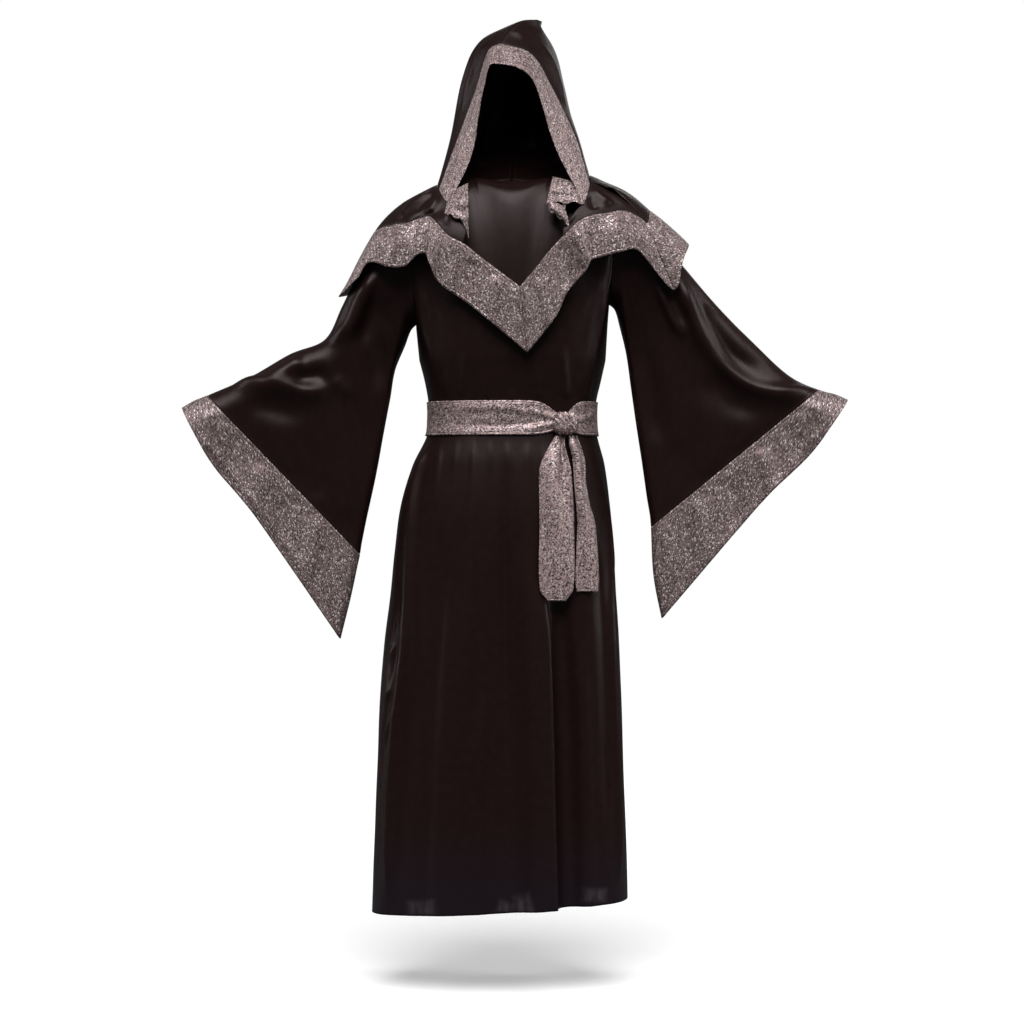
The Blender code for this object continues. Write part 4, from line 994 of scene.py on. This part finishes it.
# Hooded shoulder cape: black satin cut in two fronts and two backs, with a wide silver band sewn
# round its hem and mitred at the front point, the shoulders and the centre back. The cloth lies
# over the shoulders and buckles where it turns from the chest to the arm.
CAPE_SECTIONS = (
    # x, ridge height, front depth, back depth, rounding height
    (-0.340, -0.222, 0.066, 0.062, 0.060),
    (-0.316, -0.184, 0.068, 0.064, 0.062),
    (-0.291, -0.134, 0.072, 0.068, 0.066),
    (-0.264, -0.087, 0.078, 0.074, 0.074),
    (-0.241, -0.056, 0.086, 0.082, 0.086),
    (-0.214, -0.032, 0.097, 0.094, 0.104),
    (-0.180, -0.011, 0.112, 0.108, 0.124),
    (-0.135, 0.011, 0.124, 0.120, 0.142),
    (-0.080, 0.031, 0.130, 0.126, 0.155),
    (0.000, 0.042, 0.134, 0.128, 0.160),
    (0.080, 0.040, 0.130, 0.126, 0.155),
    (0.147, 0.026, 0.121, 0.117, 0.140),
    (0.180, 0.012, 0.112, 0.108, 0.128),
    (0.208, -0.001, 0.101, 0.097, 0.110),
    (0.232, -0.016, 0.092, 0.088, 0.096),
    (0.261, -0.042, 0.083, 0.079, 0.082),
    (0.286, -0.062, 0.077, 0.073, 0.074),
    (0.320, -0.093, 0.072, 0.068, 0.068),
    (0.340, -0.113, 0.070, 0.066, 0.066),
)
CAPE_RIGHT = (
    # face, neck x, neck z, seam x, seam z, hem x, hem z, stand-off
    (-1, -0.030, -0.150, 0.015, -0.198, 0.028, -0.322, 0.004),
    (-1, -0.045, -0.130, -0.023, -0.169, -0.028, -0.274, 0.004),
    (-1, -0.065, -0.106, -0.057, -0.143, -0.079, -0.232, 0.004),
    (-1, -0.083, -0.084, -0.090, -0.117, -0.118, -0.205, 0.005),
    (-1, -0.095, -0.071, -0.117, -0.103, -0.140, -0.184, 0.008),
    (-1, -0.108, -0.056, -0.138, -0.081, -0.150, -0.158, 0.012),
    (-1, -0.119, -0.039, -0.156, -0.064, -0.163, -0.134, 0.003),
    (-1, -0.127, -0.027, -0.176, -0.069, -0.180, -0.140, 0.006),
    (-1, -0.133, -0.017, -0.194, -0.079, -0.197, -0.158, 0.012),
    (-1, -0.138, -0.006, -0.227, -0.080, -0.231, -0.157, 0.007),
    (-1, -0.141, 0.001, -0.250, -0.083, -0.271, -0.150, 0.005),
    (-1, -0.142, 0.006, -0.259, -0.084, -0.295, -0.182, 0.004),
    (0, -0.142, 0.0085, -0.264, -0.086, -0.331, -0.207, 0.003),
    (1, -0.140, 0.004, -0.248, -0.092, -0.288, -0.188, 0.004),
    (1, -0.128, 0.000, -0.205, -0.097, -0.217, -0.192, 0.010),
    (1, -0.097, 0.010, -0.150, -0.108, -0.157, -0.212, 0.004),
    (1, -0.050, 0.022, -0.078, -0.124, -0.082, -0.236, 0.009),
    (1, 0.000, 0.026, 0.000, -0.145, 0.000, -0.262, 0.004),
)
CAPE_LEFT = (
    # face, neck x, neck z, seam x, seam z, hem x, hem z, stand-off
    (-1, 0.050, -0.150, 0.015, -0.198, 0.028, -0.322, 0.004),
    (-1, 0.065, -0.130, 0.043, -0.164, 0.053, -0.292, 0.005),
    (-1, 0.082, -0.105, 0.071, -0.129, 0.084, -0.250, 0.007),
    (-1, 0.100, -0.082, 0.094, -0.104, 0.103, -0.208, 0.009),
    (-1, 0.112, -0.066, 0.114, -0.084, 0.136, -0.168, 0.010),
    (-1, 0.120, -0.054, 0.132, -0.070, 0.147, -0.148, 0.006),
    (-1, 0.134, -0.037, 0.174, -0.058, 0.169, -0.140, 0.005),
    (-1, 0.141, -0.020, 0.210, -0.052, 0.203, -0.130, 0.006),
    (-1, 0.144, -0.008, 0.232, -0.061, 0.230, -0.124, 0.007),
    (-1, 0.147, 0.003, 0.245, -0.070, 0.254, -0.145, 0.008),
    (-1, 0.147, 0.010, 0.252, -0.076, 0.306, -0.200, 0.008),
    (-1, 0.148, 0.017, 0.258, -0.066, 0.323, -0.146, 0.006),
    (0, 0.147, 0.0245, 0.262, -0.044, 0.334, -0.108, 0.004),
    (1, 0.145, 0.014, 0.252, -0.082, 0.292, -0.172, 0.004),
    (1, 0.130, 0.008, 0.205, -0.092, 0.217, -0.187, 0.010),
    (1, 0.098, 0.014, 0.150, -0.106, 0.157, -0.210, 0.004),
    (1, 0.050, 0.023, 0.078, -0.123, 0.082, -0.235, 0.009),
    (1, 0.000, 0.026, 0.000, -0.145, 0.000, -0.262, 0.004),
)
FRONT_EDGE = 3          # station where the cape's satin starts beside the neck
CORNER_RIGHT = 12       # stations of the shoulder seams
CORNER_LEFT = 10
LAST = 17               # station of the centre back
CAPE_BASE = 0.002       # how far the neck edge stands off the shoulder form
BAND_FLARE = 0.25       # how much more the hem stands off than the band's seam
CAPE_ROWS = 40
BAND_ROWS = 24
CAPE_CUTS = {
    # flat size and area of the cut that shows
    "cape_front_right": ((0.24, 0.13), 0.020),
    "cape_front_left": ((0.14, 0.09), 0.0076),
    "cape_back_right": ((0.30, 0.19), 0.044),
    "cape_back_left": ((0.34, 0.20), 0.056),
    "cape_band_front_right": ((0.46, 0.13), 0.041),
    "cape_band_front_left": ((0.34, 0.13), 0.029),
    "cape_band_back_right": ((0.40, 0.14), 0.042),
    "cape_band_back_left": ((0.46, 0.15), 0.054),
}
CAPE_CREASES = (
    # facing, height, half width, steep side, fade in, fade out, places across and up, in mm
    (-1, 6.8, 9, 0.3, 0.2, 0.2, (-132, -12), (-146, -34), (-160, -62)),
    (-1, -5.4, 9, 0, 0.3, 0.3, (-142, -8), (-166, -30), (-184, -62)),
    (-1, 4.7, 11, 0, 0.3, 0.2, (-152, -8), (-186, -30), (-214, -72)),
    (-1, 4.1, 8, 0, 0.3, 0.3, (-112, -50), (-124, -66), (-132, -84)),
    (-1, 6.1, 10, -0.3, 0.2, 0.3, (146, -6), (166, -22), (192, -44)),
    (-1, -5.4, 9, 0, 0.3, 0.3, (140, -20), (150, -36), (166, -52)),
    (-1, 4.7, 12, 0, 0.3, 0.3, (156, 10), (196, -10), (232, -36)),
    (1, 6.1, 12, 0.3, 0.2, 0.2, (-110, 4), (-136, -30), (-158, -90)),
    (1, -5.4, 12, 0, 0.2, 0.2, (-74, 6), (-90, -40), (-104, -100)),
    (1, 6.1, 12, 0, 0.2, 0.2, (-30, 10), (-36, -50), (-44, -120)),
    (1, 6.1, 12, 0, 0.2, 0.2, (34, 10), (42, -50), (50, -120)),
    (1, -5.4, 12, 0, 0.2, 0.2, (78, 6), (92, -40), (106, -100)),
    (1, 6.1, 12, -0.3, 0.2, 0.2, (114, 4), (140, -30), (162, -90)),
)
BAND_CREASES = (
    (-1, 4.1, 14, 0, 0.1, 0, (-30, -180), (-36, -220), (-42, -260)),
    (-1, -3.4, 14, 0, 0.1, 0, (-72, -150), (-86, -180), (-100, -215)),
    (-1, 5.4, 9, 0, 0.1, 0, (-166, -72), (-171, -100), (-176, -134)),
    (-1, 4.7, 10, 0, 0.1, 0, (-214, -86), (-222, -116), (-232, -150)),
    (-1, 4.1, 12, 0, 0.1, 0, (52, -180), (60, -220), (68, -262)),
    (-1, 10.8, 14, -0.8, 0.1, 0, (113, -80), (126, -112), (137, -145)),
    (-1, -5.4, 10, 0, 0.1, 0, (88, -110), (97, -140), (104, -186)),
    (-1, -4.1, 10, 0, 0.1, 0, (158, -64), (162, -100), (166, -140)),
    (-1, 4.1, 12, 0, 0.1, 0, (196, -56), (198, -90), (200, -128)),
    (1, 5.4, 14, 0, 0.1, 0, (-170, -110), (-178, -150), (-184, -196)),
    (1, 5.4, 14, 0, 0.1, 0, (-46, -135), (-48, -180), (-50, -240)),
    (1, 5.4, 14, 0, 0.1, 0, (50, -135), (52, -180), (54, -240)),
    (1, 5.4, 14, 0, 0.1, 0, (172, -108), (180, -150), (186, -194)),
)


def on_shoulder(x, reach):
    """Points of the shoulder form: reach is the way down from its ridge, negative to the front."""
    ridge, front, back, height = smooth_row(CAPE_SECTIONS, x)
    depth = np.where(reach < 0, front, back)
    turn = abs(reach) / height
    bent = turn < math.pi / 2
    y = np.where(bent, depth * np.sin(turn), depth)
    drop = np.where(bent, height * (1 - np.cos(turn)), abs(reach) - height * (math.pi / 2 - 1))
    return np.stack([x, np.copysign(y, reach), ridge - drop], axis=-1)


def over_shoulder(x, reach, lift):
    """Points that stand off the shoulder form."""
    across = on_shoulder(x + STEP, reach) - on_shoulder(x - STEP, reach)
    down = on_shoulder(x, reach - STEP) - on_shoulder(x, reach + STEP)
    return on_shoulder(x, reach) + unit(np.cross(across, -down)) * lift[:, None]


def reach_down(x, z, face):
    """Way down the shoulder form to a height, on its front, -1, or its back, 1."""
    ridge, front, back, height = smooth_row(CAPE_SECTIONS, x)
    drop = np.maximum(ridge - z, 0.0)
    bent = height * np.arccos(1 - np.minimum(drop / height, 1))
    return face * np.where(drop < height, bent, height * (math.pi / 2 - 1) + drop)


def cape_table(stations):
    """Stations by number: across and way down at the neck, seam and hem, and the stand-off."""
    data = np.array(stations)
    face = data[:, 0]
    columns = [np.arange(len(data))]
    for x, z in ((1, 2), (3, 4), (5, 6)):
        columns += [data[:, x], reach_down(data[:, x], data[:, z], face)]
    return np.stack([*columns, data[:, 7]], axis=-1)


CAPE = {-1: cape_table(CAPE_RIGHT), 1: cape_table(CAPE_LEFT)}


def cape(side, station, down):
    """Points of the cape: down 0 at the neck, 1 at the hem band's seam, 2 at the hem."""
    neck_x, neck_r, seam_x, seam_r, hem_x, hem_r, stand = smooth_row(CAPE[side], station)
    upper = down < 1
    x = np.where(upper, mix(neck_x, seam_x, down), mix(seam_x, hem_x, down - 1))
    reach = np.where(upper, mix(neck_r, seam_r, down), mix(seam_r, hem_r, down - 1))
    off = mix(CAPE_BASE, stand, ease(down)) * (1 + BAND_FLARE * np.maximum(down - 1, 0))
    return over_shoulder(x, reach, off)


def lay_panel(name, surface, side, columns, rows, finish, thick, creases, swell, sewn, hemmed=""):
    """Cloth of a panel whose u runs from the front round the shoulder and v down from the neck."""
    return lay_cloth(name, surface, steps_across(surface, 0.5, columns),
                     steps_along(surface, 0.5, rows), finish, thick, creases, swell=swell,
                     sewn=sewn, hemmed=hemmed, turned=side > 0)


cape_satin = satin("cape_satin", hem_row=0.005)
cape_knit = glitter_knit("cape_knit", seam_row=0.006, painted_lightness=1.10)
for word, side, corner in (("right", -1, CORNER_RIGHT), ("left", 1, CORNER_LEFT)):
    for face, start, end, columns in (("front", FRONT_EDGE, corner, 60), ("back", corner, LAST, 70)):
        form = lambda u, v, side=side, start=start, end=end: cape(side, mix(start, end, u), v)
        cloth = lay_panel(f"cape_{face}_{word}_cloth", form, side, columns, CAPE_ROWS, cape_satin,
                          SATIN_THICK, CAPE_CREASES, (0.04, 0.0012), "u1 v0 v1")
        cut, area = CAPE_CUTS[f"cape_{face}_{word}"]
        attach(cloth, "root")
        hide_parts(f"cape_{face}_{word}")
    for face, start, end, columns in (("front", 0, corner, 110), ("back", corner, LAST, 100)):
        form = lambda u, v, side=side, start=start, end=end: cape(side, mix(start, end, u), 1 + v)
        cloth = lay_panel(f"cape_band_{face}_{word}_cloth", form, side, columns, BAND_ROWS, cape_knit,
                          KNIT_THICK, BAND_CREASES, (0.04, 0.0010), "u0 u1 v0", "v1")
        cut, area = CAPE_CUTS[f"cape_band_{face}_{word}"]
        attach(cloth, "root")
        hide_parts(f"cape_band_{face}_{word}")

# Hood: two halves of the same satin joined in one seam over the crest to a peak at the back, with
# a silver band sewn round the face edge. It stands up by itself where the cloth is pulled over
# the crown, and falls in slack folds behind.
HOOD_RIGHT = (
    # station, crest x y z, top x y z, upper x y z, lower x y z
    (6.0, -0.023, -0.088, 0.229, -0.042, -0.087, 0.226, -0.053, -0.085, 0.180, -0.076, -0.080, 0.060),
    (9.0, -0.023, -0.040, 0.276, -0.046, -0.035, 0.262, -0.070, -0.030, 0.188, -0.112, -0.028, 0.075),
    (12.0, 0.010, 0.015, 0.326, -0.060, 0.030, 0.294, -0.095, 0.030, 0.224, -0.119, 0.030, 0.100),
    (14.5, 0.045, 0.050, 0.338, -0.026, 0.085, 0.306, -0.070, 0.108, 0.228, -0.098, 0.105, 0.102),
    (17.0, 0.058, 0.080, 0.340, 0.050, 0.124, 0.300, 0.034, 0.150, 0.220, 0.006, 0.122, 0.095),
)
HOOD_LEFT = (
    # station, crest x y z, top x y z, upper x y z, lower x y z
    (6.0, -0.023, -0.088, 0.229, 0.012, -0.087, 0.221, 0.044, -0.085, 0.191, 0.080, -0.082, 0.078),
    (9.0, -0.023, -0.040, 0.276, 0.035, -0.036, 0.258, 0.073, -0.030, 0.200, 0.122, -0.030, 0.098),
    (12.0, 0.010, 0.015, 0.326, 0.066, 0.030, 0.285, 0.096, 0.030, 0.215, 0.124, 0.030, 0.112),
    (14.5, 0.045, 0.050, 0.338, 0.080, 0.085, 0.290, 0.096, 0.106, 0.215, 0.110, 0.105, 0.104),
    (17.0, 0.058, 0.080, 0.340, 0.050, 0.124, 0.300, 0.034, 0.150, 0.220, 0.006, 0.122, 0.095),
)
HOOD_START = 6          # station of the face edge, and of the seam behind its band
HOOD_SEAM = 9
HOOD_ROWS = 90
HOOD_HOOPS = (0.0, 0.18, 0.42, 0.74, 1.0)     # how far down the points of HOOD_RIGHT and HOOD_LEFT are
HOOD_TUCK = 1.010       # the foot reaches 3 mm into the cape's neck seam
HOOD_CREASES = (
    # facing, height, half width, steep side, fade in, fade out, places across and up, in mm
    (-1, 5, 11, 0.3, 0.2, 0.4, (-40, 290), (-78, 230), (-100, 150)),
    (-1, -4, 10, 0, 0.3, 0.4, (-60, 290), (-92, 210), (-112, 120)),
    (-1, 4, 10, 0, 0.3, 0.4, (-6, 306), (10, 300), (36, 290)),
    (-1, 4, 10, -0.3, 0.3, 0.4, (56, 290), (88, 220), (108, 150)),
    (1, 6, 14, 0.3, 0.2, 0.3, (10, 310), (-40, 230), (-70, 120), (-80, 60)),
    (1, -5, 14, 0, 0.2, 0.3, (30, 290), (-14, 210), (-44, 120)),
    (1, 5.5, 14, 0, 0.2, 0.3, (64, 290), (66, 210), (70, 120), (78, 60)),
    (1, -5, 14, 0, 0.2, 0.3, (54, 260), (40, 180), (34, 90)),
    (1, 4.5, 10, 0, 0.3, 0.3, (-110, 100), (-80, 66), (-40, 50)),
    (1, 4.5, 10, 0, 0.3, 0.3, (116, 100), (88, 66), (46, 50)),
)
FACE_BAND_CREASES = (
    (-1, 3, 10, 0, 0.2, 0.2, (-50, 226), (-74, 130), (-106, 50)),
    (-1, 3, 10, 0, 0.2, 0.2, (48, 216), (78, 130), (112, 56)),
)


def hood(side, station, down):
    """Points of the hood above stations of the neck edge, down 0 on the crest to 1 at the neck."""
    row = smooth_row(HOOD_RIGHT if side < 0 else HOOD_LEFT, station).T
    foot = cape(side, station, np.zeros(np.shape(station)))
    hoop = np.stack([row[:, 0:3], row[:, 3:6], row[:, 6:9], row[:, 9:12], foot])
    return smooth_between(HOOD_HOOPS, hoop, down)


hood_satin = satin("hood_satin", hem_row=0.005)
hood_knit = glitter_knit("hood_knit", seam_row=0.006, painted_lightness=1.40)
for word, side in (("right", -1), ("left", 1)):
    for name, start, end, columns, finish, thick, slot, creases, sewn, hemmed, cut, area in (
        ("hood_band", HOOD_START, HOOD_SEAM, 24, hood_knit, KNIT_THICK, "silver_knit",
         FACE_BAND_CREASES, "u1 v0 v1", "u0", (0.08, 0.37), 0.019 if side < 0 else 0.022),
        ("hood", HOOD_SEAM, LAST, 80, hood_satin, SATIN_THICK, "black_satin",
         HOOD_CREASES, "u0 u1 v0 v1", "", (0.36, 0.38), 0.092 if side < 0 else 0.079),
    ):
        form = lambda u, v, side=side, start=start, end=end: hood(side, mix(start, end, u),
                                                                  v * HOOD_TUCK)
        cloth = lay_panel(f"{name}_{word}_cloth", form, side, columns, HOOD_ROWS, finish, thick,
                          creases, (0.05, 0.0012), sewn, hemmed)
        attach(cloth, "root")
        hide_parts(f"{name}_{word}")

# Front turns: below the hood the silver front edge turns back on itself at each collarbone, so
# its lined side shows as a short lapel that folds over and under. They are loops of the same
# knit, caught into the hood's seam.
FRONT_TURNS = {
    # four corners each, across, up and off the shoulder form: outer low, inner low, inner high,
    # outer high; then how far the inner low corner trails
    "front_turn_right": ((-0.126, -0.062, 0.007), (-0.081, -0.078, 0.009),
                         (-0.081, -0.008, 0.014), (-0.116, -0.020, 0.006), 0.030),
    "front_turn_left_upper": ((0.064, -0.044, 0.008), (0.136, -0.040, 0.0042),
                              (0.122, 0.000, 0.006), (0.076, 0.006, 0.012), 0.0),
    "front_turn_left_lower": ((0.070, -0.056, 0.009), (0.107, -0.084, 0.007),
                              (0.098, -0.046, 0.007), (0.064, -0.039, 0.009), 0.0),
}
TURN_CREASES = (
    # facing, height, half width, steep side, fade in, fade out, places across and up, in mm
    (-1, 3.4, 4.5, 0, 0.1, 0.1, (-122, -58), (-106, -66), (-88, -72)),
    (-1, -3, 4.5, 0, 0.1, 0.2, (-116, -44), (-102, -54), (-90, -60)),
    (-1, 2.6, 6, 0, 0.2, 0.2, (-86, -12), (-92, -32), (-98, -48)),
    (-1, -2.3, 4, 0, 0.2, 0, (-86, -40), (-85, -70), (-84, -100)),
    (-1, 3.7, 5, 0, 0.1, 0.1, (68, -40), (90, -36), (108, -42), (130, -36)),
    (-1, -3, 5, 0, 0.2, 0.2, (72, -26), (92, -23), (118, -26)),
    (-1, 2.6, 7, 0, 0.2, 0.3, (84, 2), (80, -10), (74, -24)),
    (-1, -2.3, 5, 0, 0.2, 0.3, (98, 2), (102, -8), (108, -20)),
    (-1, 2.3, 4, 0, 0.1, 0.1, (70, -48), (86, -56), (102, -74)),
)

TURN_GRID = 36
TURN_BULGE = 0.006
TURN_WAVE = 0.0025      # the lower edge waves this much, over this many half waves
TURN_WAVES = 5

turn_knit = glitter_knit("turn_knit", seam_row=0.004, painted_lightness=1.30)
for name, corners in FRONT_TURNS.items():
    low_out, low_in, high_in, high_out = np.array(corners[:4])
    trail = corners[4]

    def patch(u, v, low_out=low_out, low_in=low_in, high_in=high_in, high_out=high_out,
              trail=trail):
        u_share = u[:, None]
        place = mix(mix(low_out, low_in, u_share), mix(high_out, high_in, u_share), v[:, None])
        bulge = TURN_BULGE * np.sin(math.pi * np.clip(u, 0, 1)) * np.sin(math.pi * np.clip(v, 0, 1))
        x, z, lift = place.T
        z = z - trail * np.clip(u, 0, 1)**7 * (1 - v)
        z = z - TURN_WAVE * np.sin(TURN_WAVES * math.pi * u) * (1 - v)
        return over_shoulder(x, reach_down(x, z, -1), lift + bulge)

    steps = np.linspace(0, 1, TURN_GRID + 1)
    cloth = lay_cloth(f"{name}_cloth", patch, steps, steps, turn_knit, KNIT_THICK, TURN_CREASES,
                      swell=(0.03, 0.0004), hemmed="u0 u1 v0 v1")
    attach(cloth, "root")
    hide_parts(name)

# Sash: a long strip of the silver knit, wrapped once round the waist over the robe and knotted at
# the wearer's left front. The knot draws its edges together, and its two ends hang down the skirt
# over each other's edge.
SASH_GRID = (260, 18)
SASH_LIFT = 0.0030      # from the robe to the middle of the sash
SASH_GATHER = 0.62      # share of its width that the knot draws in, and how far it sags there
SASH_SAG = 0.12
KNOT_AROUND = 0.3565    # place of the knot round the waist, and how far its pull spreads
KNOT_SPREAD = 0.035
KNOT_GAP = 0.0010
KNOT_SIZE = (0.026, 0.014, 0.023)
KNOT_DROP = 0.004
KNOT_GRID = (72, 48)
KNOT_ROUND = 3           # 2 is a ball, more is squarer
KNOT_SLANT = (0.8, 0.6)  # direction across the grooves where the cloth passes round
WIDE_GROOVE = 0.10
FINE_GROOVE = 0.05
HALF_WALL = 0.001
SASH_CREASES = (
    # facing, height, half width, steep side, fade in, fade out, places across and up, in mm
    (-1, 2.4, 6, 0, 0.3, 0.3, (-150, -430), (-80, -424), (-10, -426), (60, -440)),
    (-1, -2.1, 6, 0, 0.3, 0.3, (-140, -452), (-60, -456), (20, -452), (64, -450)),
    (-1, 2.7, 5, 0, 0.4, 0, (20, -424), (50, -432), (84, -444)),
    (-1, 2.7, 5, 0, 0.4, 0, (10, -466), (50, -462), (84, -452)),
    (-1, 2.7, 5, 0, 0, 0.4, (128, -448), (146, -440), (160, -430)),
    (1, 2.4, 6, 0, 0.3, 0.3, (-120, -436), (0, -430), (120, -438)),
    (1, -2.1, 6, 0, 0.3, 0.3, (-110, -456), (10, -452), (130, -458)),
)
TAILS = {
    "sash_tail_right": (
        # height, right edge, left edge, stand-off from the skirt
        (-0.789, 0.068, 0.101, 0.010),
        (-0.768, 0.053, 0.115, 0.011),
        (-0.655, 0.052, 0.117, 0.012),
        (-0.565, 0.051, 0.113, 0.013),
        (-0.535, 0.053, 0.110, 0.014),
        (-0.505, 0.066, 0.103, 0.014),
        (-0.4770, 0.082, 0.100, 0.012),
    ),
    "sash_tail_left": (
        (-0.772, 0.122, 0.162, 0.007),
        (-0.744, 0.120, 0.164, 0.008),
        (-0.648, 0.122, 0.158, 0.009),
        (-0.606, 0.120, 0.147, 0.010),
        (-0.565, 0.119, 0.140, 0.011),
        (-0.522, 0.117, 0.138, 0.013),
        (-0.4765, 0.107, 0.122, 0.015),
    ),
}
TAIL_GRID = (18, 90)
TAIL_BEND = 0.004
TAIL_CREASES = (
    (-1, 4.8, 7, 0, 0.1, 0.4, (90, -480), (78, -560), (74, -680)),
    (-1, -3.8, 6, 0, 0.1, 0.4, (94, -480), (94, -560), (94, -700)),
    (-1, 3.8, 6, 0, 0.1, 0.3, (98, -485), (106, -560), (108, -740)),
    (-1, 4.8, 6, 0, 0.1, 0.4, (114, -480), (128, -560), (136, -720)),
    (-1, -3.2, 6, 0, 0.2, 0.4, (118, -490), (136, -600), (148, -750)),
)


def sash_place(around, up):
    """Sash round the waist: around 0 to 1 from the right side seam by the front."""
    turned = around % 1
    u = np.where(turned < 0.5, turned * 2, turned * 2 - 1)
    at_knot = np.exp(-(((around - KNOT_AROUND) / KNOT_SPREAD) ** 2))
    height = mix(0.5, up, 1 - SASH_GATHER * at_knot) - SASH_SAG * at_knot
    level = (SKIRT_ROWS + 2 * height) / ROBE_ROWS
    places = []
    for front in (True, False):
        panel = robe_panel(front)
        places.append(panel(u, level) + normal_of(panel, u, level) * SASH_LIFT)
    return np.where((turned < 0.5)[:, None], places[0], places[1])


sash_knit = glitter_knit("sash_knit", seam_row=0.004, painted_lightness=1.66)
wrap = lay_cloth("sash_wrap_cloth", sash_place, np.linspace(0, 1, SASH_GRID[0] + 1),
                 np.linspace(0, 1, SASH_GRID[1] + 1), sash_knit, KNIT_THICK, SASH_CREASES,
                 swell=(0.03, 0.0005), hemmed="v0 v1", tube=True)
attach(wrap, "root")
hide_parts("sash_wrap")

knot_u = np.array([KNOT_AROUND])
knot_v = np.array([0.5])
outward = Vector(normal_of(sash_place, knot_u, knot_v)[0])
to_left = Vector((0, 0, 1)).cross(outward)
middle = Vector(sash_place(knot_u, knot_v)[0]) + outward * (HALF_WALL + KNOT_GAP + KNOT_SIZE[1])
middle.z -= KNOT_DROP
knot_mesh = bmesh.new()
bmesh.ops.create_uvsphere(knot_mesh, u_segments=KNOT_GRID[0], v_segments=KNOT_GRID[1], radius=1.0)
knot_cloth = knot_mesh.loops.layers.uv.new("cloth")
knot_edges = knot_mesh.verts.layers.float_vector.new("from_edge")
for vertex in knot_mesh.verts:
    ball = vertex.co.copy()
    vertex[knot_edges] = (1.0, 0.0, 0.0)
    slant = ball.x * KNOT_SLANT[0] + ball.z * KNOT_SLANT[1]
    groove = 1 - WIDE_GROOVE * math.cos(3 * math.pi * slant) ** 2
    groove -= FINE_GROOVE * math.cos(9 * slant + 1) ** 4
    square = sum(abs(share) ** KNOT_ROUND for share in ball) ** (-1 / KNOT_ROUND)
    x, y, z = [share * groove * square * size for share, size in zip(ball, KNOT_SIZE)]
    vertex.co = middle + to_left * x + outward * y + Vector((0, 0, z))
for face in knot_mesh.faces:
    for loop in face.loops:
        loop[knot_cloth].uv = (loop.vert.co.x, loop.vert.co.z)
knot_data = bpy.data.meshes.new("sash_knot_cloth")
bmesh.ops.recalc_face_normals(knot_mesh, faces=knot_mesh.faces)
knot_mesh.to_mesh(knot_data)
knot_mesh.free()
knot_data.shade_smooth()
knot_data.materials.append(sash_knit)
knot = add_object("sash_knot_cloth", knot_data)
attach(knot, "root")
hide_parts("sash_knot")

for name, rows in TAILS.items():
    def tail(u, v, rows=rows):
        height = mix(rows[0][0], rows[-1][0], v)
        low, high, off = smooth_row(rows, height)
        x = mix(low, high, u)
        right, left, front, back = smooth_row(ROBE_LEVELS, height)
        depth = front * (1 - abs(x / np.where(x > 0, left, right)) ** ROUND) ** (1 / ROUND)
        bend = TAIL_BEND * np.sin(2 * math.pi * (u + 0.5 * v))
        lift = np.maximum(fold_height(FRONT_FOLDS, x, height), 0) + off - bend
        return np.stack([x, -depth - lift, height], axis=-1)

    cloth = lay_cloth(f"{name}_cloth", tail, np.linspace(0, 1, TAIL_GRID[0] + 1),
                      np.linspace(0, 1, TAIL_GRID[1] + 1), sash_knit, KNIT_THICK, TAIL_CREASES,
                      swell=(0.03, 0.0010), hemmed="u0 u1 v0")
    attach(cloth, "root")
    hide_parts(name)
